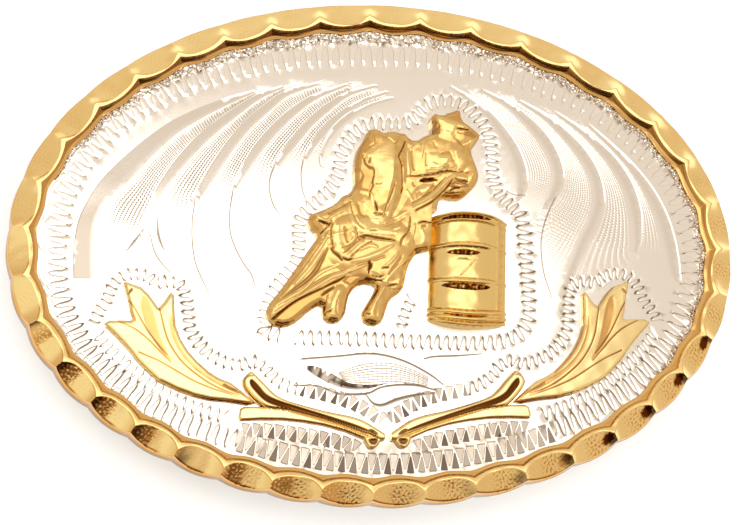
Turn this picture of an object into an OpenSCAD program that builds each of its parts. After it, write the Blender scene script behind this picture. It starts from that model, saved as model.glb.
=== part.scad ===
// Oval Western trophy buckle, lying face up on the hardware behind it.
// X runs along its length, Y towards the top of its picture and Z out of its face.
// The origin is on the surface that it lies on, under the middle of the face.

/* [Oval] */
// Length over the rim
buckle_len = 88.9; // [84:0.1:94]
// Width over the rim
buckle_width = 61.6; // [58:0.1:66]
// How far the middle of the face stands above its two ends
bow_rise = 1.2; // [0.8:0.1:2.5]
// Thickness of the field plate
plate_t = 1.9; // [1.5:0.1:2.4]
// Height of the plate's back above the surface that the buckle lies on
back_h = 8.0; // [7.6:0.1:9]

/* [Scalloped rim] */
// Number of hollow scallops round the rim
scallops = 38; // [34:1:42]
// Width of the rim seen from the front
rim_w = 3.6; // [3.4:0.05:4]
// Height of the rim's crest above the field
crest_h = 1.4; // [1.2:0.05:1.6]
// Height of the uncut rim at its outer edge, above the field
edge_h = 0.8; // [0.6:0.05:1]
// Distance of the crest from the outer edge
crest_in = 2.75; // [2.6:0.05:2.9]
// How far the outline draws in at the cusps between two scallops
lobe_depth = 0.2; // [0.1:0.05:0.3]
// Distance from the outer edge at which the plate sits in the rim
seat_in = 1.5; // [1.3:0.1:1.8]

/* [Cast relief] */
// Gap between two pieces that touch on the real buckle
part_gap = 0.05; // [0.03:0.01:0.1]
// Height of the figure's relief against its table, 1 for the table's own
relief_scale = 1; // [0.7:0.05:1.1]
// Middle of the barrel along X
barrel_x = 10.75; // [10.5:0.05:11]
// Middle of the barrel along Y
barrel_y = -2.35; // [-2.6:0.05:-2.1]
// Lean of the barrel's top towards the right, in degrees
barrel_lean = 3.5; // [2:0.5:5]

/* [Belt hardware] */
// Radius of the loop's wire
wire_r = 1.5; // [1.3:0.1:1.6]
// Clear width inside the loop, for a 38 mm belt
loop_clear = 39.5; // [39:0.5:41]
// Distance between the middles of the loop's two long bars
loop_reach = 14; // [13:0.5:15]
// Radius of the hook that goes in a belt hole
hook_r = 2.0; // [1.8:0.1:2.2]
// Distance of the hook from the middle of the buckle
hook_x = 30; // [28:0.5:32]

/* [Hidden] */

half_len = buckle_len / 2;
half_width = buckle_width / 2;
bow_r = (half_len * half_len + bow_rise * bow_rise) / (2 * bow_rise);
field_h = back_h + plate_t;
reach_z = 100;
bow_flats = 13;    // flats on each side of the middle
bow_flat_w = 3.75; // their width, which keeps them within 0.003 mm of the true bow
gold = "#d9aa4f";
silver = "#e4dfd6";
brass = "#c9a860";

// Height of the field above the surface at a distance x from the middle
function field_z(x) = field_h - bow_r + sqrt(bow_r * bow_r - x * x);

// Everything below a bow of the given radius about the field's own axis, drawn in narrow flats
module inside_bow(radius) {
    arc = [
        for (i = [-bow_flats:bow_flats])
            let (x = i * bow_flat_w)
            [x, field_h - bow_r + sqrt(radius * radius - x * x)]
    ];
    rotate([90, 0, 0])
        linear_extrude(height = 2 * buckle_width, center = true)
            polygon([
                each arc,
                [bow_flats * bow_flat_w, -reach_z],
                [-bow_flats * bow_flat_w, -reach_z],
            ]);
}

// Plate

module oval_block(inset) {
    scale([half_len - inset, half_width - inset, 1])
        cylinder(r = 1, h = reach_z, center = true, $fn = 180);
}

module field_plate() {
    color(silver)
        intersection() {
            oval_block(seat_in + 2 * part_gap);
            difference() {
                inside_bow(bow_r);
                inside_bow(bow_r - plate_t);
            }
        }
}

// Rim

// The scallops were struck by hand, so their cusps drift along the rim in a few slow waves
first_cusp = 1.96; // mean distance of the first cusp from the right-hand end
// Columns: waves round the rim, cosine part, sine part
drift_waves = [
    [1, -0.89, 0.79],
    [2, -0.20, -0.27],
    [3, -0.35, -0.34],
];
scoop_low = -0.1;    // floor of a scallop at the outer edge, above the field
scoop_slope = 0.555; // rise of that floor for each millimetre inwards
scoop_side = 0.54;   // rise of the floor from its middle to a cusp
steps_per_scallop = 5;
arc_step = 1;

function ellipse_speed(t) = norm([half_len * sin(t), half_width * cos(t)]) * PI / 180;

// Columns: distance along the outline, angle there
arc_table = [
    for (t = 0, s = 0; t <= 360; s = s + ellipse_speed(t + arc_step / 2) * arc_step, t = t + arc_step)
        [s, t]
];
rim_len = arc_table[len(arc_table) - 1][0];
pitch = rim_len / scallops;

function angle_at(s) = lookup(((s % rim_len) + rim_len) % rim_len, arc_table);

// The point a distance s along the outline and w inwards from it
function rim_xy(s, w) =
    let (
        t = angle_at(s),
        out = [half_width * cos(t), half_len * sin(t)]
    )
    [half_len * cos(t), half_width * sin(t)] - w * out / norm(out);

function total(values, i = 0) = i == len(values) ? 0 : values[i] + total(values, i + 1);

function cusp_s(k) =
    let (turn = 360 * k / scallops)
    k * pitch + first_cusp
        + total([for (d = drift_waves) d[1] * cos(d[0] * turn) + d[2] * sin(d[0] * turn)]);

// Height of the rim above the field before the scallops are cut
edge_curve = (crest_h - edge_h) / (crest_in * crest_in);
function uncut_h(w) =
    w <= crest_in
        ? crest_h - edge_curve * (crest_in - w) * (crest_in - w)
        : crest_h * sqrt(max(0, 1 - pow((w - crest_in) / (rim_w - crest_in), 2)));

// Height of a scallop's floor, with u from -1 to 1 between its two cusps
function scoop_h(u, w) = scoop_low + scoop_side * u * u + scoop_slope * w;

// Distance inwards at which that floor meets the uncut rim
function scoop_end(u) =
    let (
        over = scoop_h(u, crest_in) - crest_h,
        root = sqrt(scoop_slope * scoop_slope - 4 * edge_curve * over)
    )
    crest_in - (scoop_slope - root) / (2 * edge_curve);

// One section of the rim as [distance inwards, height above the field], from the outer foot round
function rim_profile(u) =
    let (
        outer = lobe_depth * u * u,
        end = scoop_end(u),
        shoulder = (rim_w - crest_in) * 0.65 + crest_in,
        lip = (rim_w - crest_in) * 0.9 + crest_in
    )
    [
        [outer, -plate_t],
        [outer, scoop_h(u, outer)],
        [(outer + end) / 2, scoop_h(u, (outer + end) / 2)],
        [end, uncut_h(end)],
        [(end + shoulder) / 2, uncut_h((end + shoulder) / 2)],
        [shoulder, uncut_h(shoulder)],
        [lip, uncut_h(lip)],
        [rim_w, part_gap],
        [seat_in, part_gap],
        [seat_in, -plate_t],
    ];

function rim_section(s, u) =
    [for (p = rim_profile(u)) let (xy = rim_xy(s, p[0])) [xy[0], xy[1], field_z(xy[0]) + p[1]]];

function ring_faces(rings, sides) = [
    for (i = [0:rings - 1], j = [0:sides - 1])
        let (
            next_i = (i + 1) % rings,
            next_j = (j + 1) % sides,
            a = i * sides + j,
            b = i * sides + next_j,
            c = next_i * sides + next_j,
            d = next_i * sides + j
        )
        each [[a, b, c], [a, c, d]]
];

module scalloped_rim() {
    sections = [
        for (k = [0:scallops - 1], step = [0:steps_per_scallop - 1])
            let (
                f = step / steps_per_scallop,
                s = cusp_s(k) + f * (cusp_s(k + 1) - cusp_s(k))
            )
            rim_section(s, 2 * f - 1)
    ];
    color(gold)
        polyhedron(
            points = [for (section = sections) each section],
            faces = ring_faces(len(sections), len(sections[0])),
            convexity = 8
        );
}

// Cast relief: limbs are rows of beads, each a flattened ball that the next one is hulled to

module bead(row, sides) {
    translate([row[0], row[1], field_z(row[0])])
        scale([row[2], row[2], row[3] * relief_scale])
            sphere(r = 1, $fn = sides);
}

module limb(rows, sides = 12) {
    for (i = [1:len(rows) - 1])
        hull() {
            bead(rows[i - 1], sides);
            bead(rows[i], sides);
        }
}

// Space that the barrel takes, with the gap round it
module barrel_space() {
    translate([barrel_x, barrel_y, 0])
        rotate([0, 0, -barrel_lean])
            for (band = barrel_bands)
                translate([0, (band[0] + band[1]) / 2, field_h])
                    cube([
                        2 * (drum_half_w(band[2]) + part_gap),
                        band[1] - band[0] + 2 * part_gap,
                        reach_z,
                    ], center = true);
}

// Columns in every limb: x, y, radius, height above the field
horse_limbs = [
    // Head, from the poll to the muzzle
    [[1.4, 12.3, 1.55, 2.3], [0.9, 9.9, 1.75, 2.8], [0.2, 7.0, 1.3, 2.9], [-0.1, 4.8, 1.1, 2.7]],
    // Ears
    [[1.2, 12.2, 1.3, 2.1], [-0.2, 13.8, 0.5, 1.6]],
    [[2.0, 12.0, 1.3, 2.0], [3.1, 13.3, 0.5, 1.6]],
    // Mane down the near side of the head
    [[-0.6, 12.6, 1.0, 1.7], [-1.6, 10.2, 1.4, 1.8], [-1.9, 7.8, 1.3, 1.7]],
    // Neck
    [[1.4, 10.6, 1.5, 1.8], [1.2, 7.4, 2.4, 1.9], [0.4, 3.6, 3.4, 2.2]],
    // Chest and flank
    [[-3.2, 0.6, 3.4, 2.3], [1.1, 0.2, 4.0, 2.4], [2.6, 3.4, 2.8, 2.0]],
    [[-3.2, -1.2, 3.0, 2.0], [1.3, -1.1, 3.1, 2.1]],
    // Raised foreleg, to its knee
    [[-1.6, 4.8, 2.6, 2.1], [-5.0, 4.1, 2.0, 2.2], [-6.8, 3.2, 1.75, 2.3]],
    // Leg stretched out to the left
    [[-4.3, 0.1, 2.9, 2.1], [-7.1, -2.8, 2.35, 1.9], [-9.6, -5.3, 1.85, 1.7], [-12.2, -7.9, 1.35, 1.5]],
    // Two legs under the body
    [[-4.3, -3.4, 1.8, 1.7], [-5.6, -6.4, 1.3, 1.5], [-5.9, -7.6, 1.05, 1.4]],
    [[1.2, -3.0, 2.2, 1.9], [-0.5, -6.4, 1.4, 1.6], [-1.2, -7.8, 1.2, 1.5]],
];
rider_limbs = [
    // Hat, its crown and its brim
    [[8.5, 15.6, 1.3, 1.8], [9.7, 15.8, 1.3, 1.8]],
    [[7.3, 15.6, 0.7, 1.3], [9.3, 14.6, 1.0, 1.8], [11.9, 13.7, 0.85, 1.3]],
    // Head and neck
    [[9.2, 13.6, 1.4, 1.9], [8.8, 11.8, 1.6, 1.8]],
    // Body, from one shoulder to the other and down to the seat
    [[5.7, 12.2, 1.2, 1.6], [8.4, 11.0, 2.4, 2.0], [10.6, 10.3, 1.9, 1.9]],
    [[4.6, 10.4, 1.6, 1.7], [6.6, 8.6, 2.2, 1.9], [9.0, 8.8, 2.2, 2.0]],
    // Arm to the hands at the reins
    [[11.1, 10.4, 1.3, 1.9], [11.1, 8.6, 1.3, 2.0], [9.7, 7.8, 1.35, 2.4]],
    // Leg beside the saddle
    [[7.0, 8.2, 2.1, 2.0], [5.6, 5.4, 2.2, 2.1], [3.8, 2.8, 2.4, 2.0]],
    // Reins
    [[9.4, 7.9, 0.6, 2.6], [5.6, 6.0, 0.5, 2.6], [1.4, 4.2, 0.5, 2.8]],
];

module horse_and_rider() {
    color(gold)
        difference() {
            union() {
                for (rows = horse_limbs) limb(rows);
                for (rows = rider_limbs) limb(rows);
            }
            inside_bow(bow_r + part_gap);
            barrel_space();
        }
}

// Barrel: a drum sunk into the field, so that only the front of its round side stands up

drum_rise = 2.3;     // how far the drum's plain side stands above the field
drum_half_chord = 4.8;
drum_r = (drum_half_chord * drum_half_chord + drum_rise * drum_rise) / (2 * drum_rise);
drum_sunk = drum_r - drum_rise;
function drum_half_w(radius) = sqrt(radius * radius - drum_sunk * drum_sunk);

// Columns: bottom of the band, its top, its radius
barrel_bands = [
    [-7.1, -6.3, drum_r + 0.45],
    [-6.3, -5.7, drum_r + 0.1],
    [-5.7, -2.35, drum_r],
    [-2.35, -1.75, drum_r - 0.25],
    [-1.75, -1.1, drum_r + 0.3],
    [-1.1, 1.6, drum_r],
    [1.6, 2.2, drum_r - 0.25],
    [2.2, 2.85, drum_r + 0.3],
    [2.85, 5.2, drum_r],
    [5.2, 5.75, drum_r + 0.35],
    [5.75, 6.95, drum_r - 0.5],
];

// Each band is two points of the drum's outline, with its edges softened by a small bevel
module drum_outline() {
    bevel = 0.1;
    polygon([
        [0, barrel_bands[0][0]],
        for (band = barrel_bands) each [
            [band[2] - bevel, band[0]],
            [band[2], band[0] + bevel],
            [band[2], band[1] - bevel],
            [band[2] - bevel, band[1]],
        ],
        [0, barrel_bands[len(barrel_bands) - 1][1]],
    ]);
}

module barrel() {
    color(gold)
        difference() {
            translate([barrel_x, barrel_y, field_z(barrel_x) - drum_sunk])
                rotate([0, 0, -barrel_lean])
                    rotate([-90, 0, 0])
                        rotate_extrude($fn = 96)
                            drum_outline();
            inside_bow(bow_r + part_gap);
        }
}

// Leaf sprays, with the same columns as the limbs: x, y, radius, height above the field
spray_fronds = [
    // Leaf that stands up at the end
    [[-30.5, -4.0, 0.35, 0.6], [-29.1, -6.0, 1.55, 1.1], [-27.9, -8.4, 1.6, 1.3], [-26.4, -11.2, 1.3, 1.2],
     [-24.2, -13.8, 1.0, 1.1], [-20.6, -16.3, 0.7, 1.0]],
    // Leaf on the inner side
    [[-25.2, -5.3, 0.35, 0.6], [-25.5, -7.6, 1.0, 1.0], [-24.9, -10.6, 1.05, 1.2], [-23.1, -13.4, 1.0, 1.2],
     [-20.2, -15.7, 0.95, 1.2], [-15.6, -17.7, 0.6, 0.9]],
    // Leaf on the outer side
    [[-32.6, -8.8, 0.45, 0.6], [-30.4, -10.1, 1.4, 1.0], [-27.9, -12.6, 1.8, 1.3], [-24.8, -15.0, 1.65, 1.3],
     [-21.2, -16.7, 1.2, 1.1], [-16.6, -17.8, 0.5, 0.8]],
    // Scroll leaf that runs on to the middle
    [[-16.0, -15.6, 0.9, 1.2], [-14.7, -17.5, 1.2, 1.3], [-11.5, -18.6, 0.75, 1.2], [-6.5, -19.8, 0.65, 1.2],
     [-2.6, -21.1, 0.65, 1.2], [-1.1, -22.2, 0.45, 1.0]],
    // Ribbon below it, with its square end
    [[-16.8, -19.4, 0.75, 0.8], [-13.0, -19.4, 0.65, 0.9], [-8.0, -20.3, 0.55, 0.9], [-3.4, -21.5, 0.5, 0.9],
     [-1.9, -23.0, 0.6, 1.0]],
];
ribbon_end = [-17.5, -20.2, 1.6, 1.5]; // lower left corner, length and width of the square end
frond_sides = 10;

module leaf_spray() {
    color(gold)
        difference() {
            union() {
                for (rows = spray_fronds) limb(rows, frond_sides);
                translate([ribbon_end[0], ribbon_end[1], field_z(ribbon_end[0]) - 1])
                    cube([ribbon_end[2], ribbon_end[3], 1.6]);
            }
            inside_bow(bow_r + part_gap);
        }
}

module leaf_spray_left() {
    leaf_spray();
}

module leaf_spray_right() {
    mirror([1, 0, 0]) leaf_spray();
}

// Belt hardware

loop_half = loop_clear / 2 + wire_r;
loop_bend = 4;
loop_x = -27;      // middle of the free bar, nearest the end of the buckle
lug_y = 11;
lug_r = 1.6;
foot_r = 3.2;
foot_t = 1.0;

// A straight wire between two points in the loop's plane
module wire(from, to) {
    run = to - from;
    translate([from[0], from[1], wire_r])
        rotate([0, 90, atan2(run[1], run[0])])
            cylinder(r = wire_r, h = norm(run), $fn = 48);
}

module wire_bend(corner, turn) {
    translate([corner[0], corner[1], wire_r])
        rotate([0, 0, turn])
            rotate_extrude(angle = 90, $fn = 72)
                translate([loop_bend, 0])
                    circle(r = wire_r, $fn = 48);
}

module belt_loop() {
    held_x = loop_x + loop_reach;
    color(brass)
        intersection() {
            union() {
                for (side = [-1, 1]) {
                    wire([loop_x + loop_bend, side * loop_half], [held_x - loop_bend, side * loop_half]);
                    translate([held_x, side * lug_y, wire_r])
                        cylinder(r = lug_r, h = back_h, $fn = 48);
                    translate([held_x, side * lug_y, back_h - foot_t])
                        cylinder(r = foot_r, h = 3 * foot_t, $fn = 72);
                }
                for (x = [loop_x, held_x])
                    wire([x, -loop_half + loop_bend], [x, loop_half - loop_bend]);
                wire_bend([held_x - loop_bend, loop_half - loop_bend], 0);
                wire_bend([loop_x + loop_bend, loop_half - loop_bend], 90);
                wire_bend([loop_x + loop_bend, -loop_half + loop_bend], 180);
                wire_bend([held_x - loop_bend, -loop_half + loop_bend], 270);
            }
            inside_bow(bow_r - plate_t - part_gap);
        }
}

module hook() {
    color(brass)
        intersection() {
            translate([hook_x, 0, 0])
                union() {
                    translate([0, 0, hook_r])
                        sphere(r = hook_r, $fn = 64);
                    translate([0, 0, hook_r])
                        cylinder(r = hook_r, h = back_h, $fn = 64);
                    translate([0, 0, back_h - foot_t - bow_rise / 2])
                        cylinder(r = foot_r, h = 3 * foot_t, $fn = 72);
                }
            inside_bow(bow_r - plate_t - part_gap);
        }
}

field_plate();
scalloped_rim();
horse_and_rider();
barrel();
leaf_spray_left();
leaf_spray_right();
belt_loop();
hook();
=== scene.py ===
"""The looks of an oval Western trophy buckle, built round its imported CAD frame.

Lengths are millimetres in the frame's own directions: X along the oval, Y to the top of its picture,
Z out of its face. They are turned to metres only where a mesh or a light is made.
"""

import logging
import math
from dataclasses import dataclass, field
from enum import Enum
from typing import Any, Sequence

import bpy
import numpy as np
from mathutils import Matrix, Vector
from mathutils.geometry import delaunay_2d_cdt


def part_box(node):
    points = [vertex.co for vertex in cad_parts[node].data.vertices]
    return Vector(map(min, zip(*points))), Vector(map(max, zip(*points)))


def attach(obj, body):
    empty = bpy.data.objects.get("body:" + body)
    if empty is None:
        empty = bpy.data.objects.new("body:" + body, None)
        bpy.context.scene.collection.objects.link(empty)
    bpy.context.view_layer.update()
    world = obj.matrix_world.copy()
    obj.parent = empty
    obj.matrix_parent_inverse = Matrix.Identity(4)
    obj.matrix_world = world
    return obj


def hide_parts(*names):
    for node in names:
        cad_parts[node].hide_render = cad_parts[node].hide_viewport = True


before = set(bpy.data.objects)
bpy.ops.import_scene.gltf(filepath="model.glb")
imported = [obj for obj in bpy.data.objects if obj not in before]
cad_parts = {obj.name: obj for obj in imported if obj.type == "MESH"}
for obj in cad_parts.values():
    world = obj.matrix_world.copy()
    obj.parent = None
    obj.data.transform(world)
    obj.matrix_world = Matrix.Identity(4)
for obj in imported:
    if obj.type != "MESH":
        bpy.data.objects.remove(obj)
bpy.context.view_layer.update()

MM = 0.001
# Points nearer than this are one point where a face is cut into triangles
NEAR = 1e-4
# Setting of a node that mixes two colours
IN_COLOUR = {"data_type": "RGBA"}
log = logging.getLogger("buckle")

Array = np.ndarray
Rows = Sequence[Sequence[float]]


# Numbers and curves


def linear_rgb(hex_colour: str) -> tuple[float, float, float, float]:
    """Turns an sRGB hex colour into the linear colour that a shader takes.

    Args:
        hex_colour: The colour as "#rrggbb".

    Returns:
        Linear red, green, blue and an alpha of 1.
    """
    channels = [int(hex_colour[i : i + 2], 16) / 255 for i in (1, 3, 5)]
    linear = [c / 12.92 if c <= 0.04045 else ((c + 0.055) / 1.055) ** 2.4 for c in channels]
    return (*linear, 1.0)


def smooth_rows(rows: Rows, steps: int = 6) -> Array:
    """Runs a smooth curve through a table's rows, all of its columns together.

    Args:
        rows: The table, a row for each point of the curve.
        steps: Number of points for each span between two rows.

    Returns:
        The curve's points, in the same columns.
    """
    table = np.asarray(rows, float)
    if len(table) < 3:
        share = np.linspace(0, 1, steps + 1)[:, None]
        return table[0] + share * (table[-1] - table[0])
    padded = np.vstack([2 * table[0] - table[1], table, 2 * table[-1] - table[-2]])
    curve = []
    for before, start, end, after in zip(padded, padded[1:], padded[2:], padded[3:]):
        t = np.linspace(0, 1, steps, endpoint=False)[:, None]
        bend = 2 * before - 5 * start + 4 * end - after
        twist = 3 * start - before - 3 * end + after
        curve.append(0.5 * (2 * start + (end - before) * t + bend * t**2 + twist * t**3))
    return np.vstack([*curve, table[-1:]])


def even_points(path: Array, gap: float) -> Array:
    """Spreads points evenly along a path.

    Args:
        path: Points of the path, with x and y in the first two columns.
        gap: Distance from one point to the next.

    Returns:
        Points that far apart, in the same columns.
    """
    run = run_of(path)
    count = max(2, round(run[-1] / gap) + 1)
    places = np.linspace(0, run[-1], count)
    return np.stack([np.interp(places, run, column) for column in path.T], axis=1)


def run_of(line: Array) -> Array:
    """Distance along a line at each of its points."""
    return np.concatenate([[0], np.cumsum(np.linalg.norm(np.diff(line[:, :2], axis=0), axis=1))])


def side_of(path: Array) -> Array:
    """Gives the unit vector to the left of a path at each of its points."""
    along = np.gradient(path[:, :2], axis=0)
    along /= np.maximum(np.linalg.norm(along, axis=1, keepdims=True), 1e-9)
    return np.stack([-along[:, 1], along[:, 0]], axis=1)


def smooth_step(low: float, high: float, value: Array) -> Array:
    """Rises smoothly from 0 at low to 1 at high."""
    share = np.clip((value - low) / (high - low), 0, 1)
    return share * share * (3 - 2 * share)


def ripple(x: Array, y: Array, wavelength: float, seed: int, waves: int = 20) -> Array:
    """Gives a smooth random surface of about unit height, the same for the same seed.

    Args:
        x: Places along X.
        y: Places along Y.
        wavelength: Typical distance from crest to crest.
        seed: Number that picks the surface.
        waves: Number of plane waves that are added up.

    Returns:
        A height for each place.
    """
    draw = np.random.default_rng(seed)
    total = np.zeros(np.broadcast(x, y).shape)
    for _ in range(waves):
        turn, phase = draw.uniform(0, 2 * math.pi, 2)
        pace = 2 * math.pi / (wavelength * draw.uniform(0.7, 1.5))
        total += np.sin(pace * (x * math.cos(turn) + y * math.sin(turn)) + phase)
    return total * math.sqrt(2 / waves)


def around(table: Rows, angle: Array) -> Array:
    """Reads a table whose first column is the angle round the oval in degrees.

    Args:
        table: The table.
        angle: Angles round the oval in radians.

    Returns:
        The table's other columns at those angles.
    """
    first, *others = np.array(table).T
    return np.array([np.interp(np.degrees(angle) % 360, first, column) for column in others])


# Meshes and shader nodes


def grid_faces(rows: int, columns: int, closed: bool = False) -> Array:
    """Splits a grid of points into triangles.

    Args:
        rows: Number of rows of points.
        columns: Number of points in a row.
        closed: Whether the last row and column join the first ones.

    Returns:
        Triangles as rows of point numbers.
    """
    index = np.arange(rows * columns).reshape(rows, columns)
    if closed:
        index = np.pad(index, ((0, 1), (0, 1)), mode="wrap")
    a, b, c, d = (part.ravel() for part in (index[:-1, :-1], index[:-1, 1:], index[1:, 1:], index[1:, :-1]))
    return np.vstack([np.stack([a, b, c], 1), np.stack([a, c, d], 1)])


def face_up(points: Array, faces: Array) -> Array:
    """Turns triangles so that they all face up.

    Args:
        points: Places as rows of x and y.
        faces: Triangles as rows of point numbers.

    Returns:
        The triangles, turned where needed.
    """
    first, second, third = (points[faces[:, corner]] for corner in range(3))
    turn = np.cross(second - first, third - first)
    return np.where((turn < 0)[:, None], faces[:, ::-1], faces)


def make_object(
    name: str, points: Array, faces: Array, finish: bpy.types.Material, crease_deg: float, tone_and_shade: Array
) -> bpy.types.Object:
    """Makes a mesh object that rides with the buckle.

    Args:
        name: Name of the piece.
        points: Its points in millimetres.
        faces: Triangles as rows of point numbers.
        finish: Its material.
        crease_deg: Edges bent more sharply than this are shaded as edges.
        tone_and_shade: How dark the finish is at each point, from 0 to 1, painted shade included.

    Returns:
        The object.
    """
    mesh = bpy.data.meshes.new(name)
    mesh.from_pydata((points * MM).tolist(), [], faces.tolist())
    mesh.validate()
    mesh.attributes.new("tone", "FLOAT", "POINT").data.foreach_set("value", tone_and_shade.astype(np.float32))
    mesh.materials.append(finish)
    mesh.shade_smooth()
    mesh.set_sharp_from_angle(angle=math.radians(crease_deg))
    made = bpy.data.objects.new(name, mesh)
    bpy.context.scene.collection.objects.link(made)
    return made


def add_node(
    tree: bpy.types.NodeTree,
    kind: str,
    settings: dict[str, Any] | None = None,
    inputs: dict[str, Any] | None = None,
) -> bpy.types.Node:
    """Adds a node with its settings, socket values and links.

    Args:
        tree: The node tree.
        kind: Blender's name of the node type.
        settings: Properties of the node.
        inputs: A value, or an output socket to link, for each named input.

    Returns:
        The node.
    """
    node = tree.nodes.new(kind)
    for name, value in (settings or {}).items():
        setattr(node, name, value)
    for name, value in (inputs or {}).items():
        socket = node.inputs[int(name)] if name.isdigit() else node.inputs[name]
        if isinstance(value, bpy.types.NodeSocket):
            tree.links.new(value, socket)
        else:
            socket.default_value = value
    return node


# Finishes


@dataclass(frozen=True)
class PlatedMetal:
    """A polished, electroplated metal, duller where it is cut, with painted shade darkening its cuts and
    recesses.
    """

    name: str
    bright: str
    dull: str
    shade: str
    recess: str
    roughness: float
    ripple_mm: float = 1.5
    ripple_height: float = 0.01
    grain_mm: float = 0.12
    grain_height: float = 0.002
    liner: str = ""
    cloud_mm: float = 6.0

    def material(self) -> bpy.types.Material:
        """Builds the material: two tones in soft clouds, the tone attribute's shade and recess colours,
        which carry painted shade, and two scales of bump.
        """
        made = bpy.data.materials.new(self.name)
        made.use_nodes = True
        tree = made.node_tree
        shader = tree.nodes["Principled BSDF"]
        place = add_node(tree, "ShaderNodeTexCoord").outputs["Object"]
        size = {"Vector": place, "Scale": 1 / (self.cloud_mm * MM), "Detail": 3.0}
        clouds = add_node(tree, "ShaderNodeTexNoise", inputs=size)
        mixed = {"0": clouds.outputs["Fac"], "6": linear_rgb(self.bright), "7": linear_rgb(self.dull)}
        colour = add_node(tree, "ShaderNodeMix", IN_COLOUR, mixed)
        tone = add_node(tree, "ShaderNodeAttribute", {"attribute_name": "tone"}).outputs["Fac"]
        # Tone up to 0.5 mixes in the shade colour and on to 1 the recess colour; the tone is mostly painted
        # shade and painted reflection, with some random speckle of the metal's own
        for low, high, cut_colour in ((0.0, 0.5, self.shade), (0.5, 1.0, self.recess)):
            span = {"Value": tone, "From Min": low, "From Max": high}
            share = add_node(tree, "ShaderNodeMapRange", inputs=span)
            mixed = {"0": share.outputs[0], "6": colour.outputs[2], "7": linear_rgb(cut_colour)}
            colour = add_node(tree, "ShaderNodeMix", IN_COLOUR, mixed)
        relief = {}
        for wide, high, detail in (
            (self.ripple_mm, self.ripple_height, 1.0),
            (self.grain_mm, self.grain_height, 2.0),
        ):
            size = {"Vector": place, "Scale": 1 / (wide * MM), "Detail": detail}
            waves = add_node(tree, "ShaderNodeTexNoise", inputs=size)
            relief |= {"Height": waves.outputs["Fac"], "Distance": high * MM, "Strength": 1.0}
            bump = add_node(tree, "ShaderNodeBump", inputs=relief)
            relief["Normal"] = bump.outputs["Normal"]
        if self.liner:
            colour, bump = self.add_liner(tree, colour, bump)
        tree.links.new(colour.outputs[2], shader.inputs["Base Color"])
        tree.links.new(bump.outputs["Normal"], shader.inputs["Normal"])
        shader.inputs["Metallic"].default_value = 1.0
        shader.inputs["Roughness"].default_value = self.roughness
        return made

    def add_liner(
        self, tree: bpy.types.NodeTree, colour: bpy.types.Node, bump: bpy.types.Node
    ) -> tuple[bpy.types.Node, bpy.types.Node]:
        """Adds the fine parallel cuts of a liner, too many for the mesh, where the mesh's liner places are,
        with painted shade in the liner colour.

        Args:
            tree: The material's nodes.
            colour: The node that gives the metal's colour.
            bump: The node that gives its normals.

        Returns:
            The nodes that give the colour and the normals with the cuts.
        """
        places = add_node(tree, "ShaderNodeAttribute", {"attribute_name": "liner"}).outputs["Vector"]
        one_a_unit = {"Vector": places, "Scale": math.pi / 10}
        across, along = (
            add_node(tree, "ShaderNodeTexWave", {"bands_direction": axis}, one_a_unit).outputs["Fac"]
            for axis in ("X", "Y")
        )
        beat = add_node(tree, "ShaderNodeMapRange", inputs={"Value": along, "To Min": 0.45, "To Max": 1.0})
        strength = add_node(tree, "ShaderNodeSeparateXYZ", inputs={"Vector": places}).outputs["Z"]
        times = {"operation": "MULTIPLY"}
        line = add_node(tree, "ShaderNodeMath", times, {"0": across, "1": beat.outputs[0]})
        cut = add_node(tree, "ShaderNodeMath", times, {"0": line.outputs[0], "1": strength}).outputs[0]
        share = add_node(tree, "ShaderNodeMapRange", inputs={"Value": cut, "From Min": 0.35, "To Max": 0.8})
        mixed = {"0": share.outputs[0], "6": colour.outputs[2], "7": linear_rgb(self.liner)}
        depth = {"Height": cut, "Distance": 0.012 * MM, "Strength": 1.0, "Normal": bump.outputs["Normal"]}
        lined = add_node(tree, "ShaderNodeBump", {"invert": True}, depth)
        return add_node(tree, "ShaderNodeMix", IN_COLOUR, mixed), lined


# The oval and its bow


@dataclass(frozen=True)
class Oval:
    """The buckle's outline and the bow of its face."""

    half_len: float
    half_width: float
    top: float
    bow_rise: float = 1.2

    def field_z(self, x: Array) -> Array:
        """Height of the bowed field at a distance x from its middle."""
        radius = (self.half_len**2 + self.bow_rise**2) / (2 * self.bow_rise)
        return self.top - radius + np.sqrt(radius**2 - np.asarray(x, float) ** 2)

    def outward(self, angle: Array) -> Array:
        """Unit vectors out of the outline at these angles, in radians."""
        out = np.stack([self.half_width * np.cos(angle), self.half_len * np.sin(angle)], axis=-1)
        return out / np.linalg.norm(out, axis=-1, keepdims=True)

    def inset(self, angle: Array, inward: Array) -> Array:
        """Points a distance inward from the outline, as rows of x and y."""
        edge = np.stack([self.half_len * np.cos(angle), self.half_width * np.sin(angle)], axis=-1)
        return edge - np.asarray(inward)[..., None] * self.outward(angle)

    def holds(self, points: Array, margin: float) -> Array:
        """Whether points lie inside the outline, with half axes less by a margin."""
        x, y = points.T
        return (x / (self.half_len - margin)) ** 2 + (y / (self.half_width - margin)) ** 2 < 1


# Relief that stands on the field


class Section(Enum):
    """Cross-sections of a stroke, from its middle line at 0 to its edge at 1."""

    DOME = "domed, with sloping sides"
    RIDGE = "straight slopes to a line"
    SOFT = "bell"

    def height(self, share: Array) -> Array:
        """Height at a share of the stroke's radius, 1 on the middle line."""
        u = np.clip(share, 0, 1)
        if self is Section.DOME:
            return 1 - u**2.4
        if self is Section.RIDGE:
            return 1 - u
        return (1 - u**2) ** 2


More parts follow.
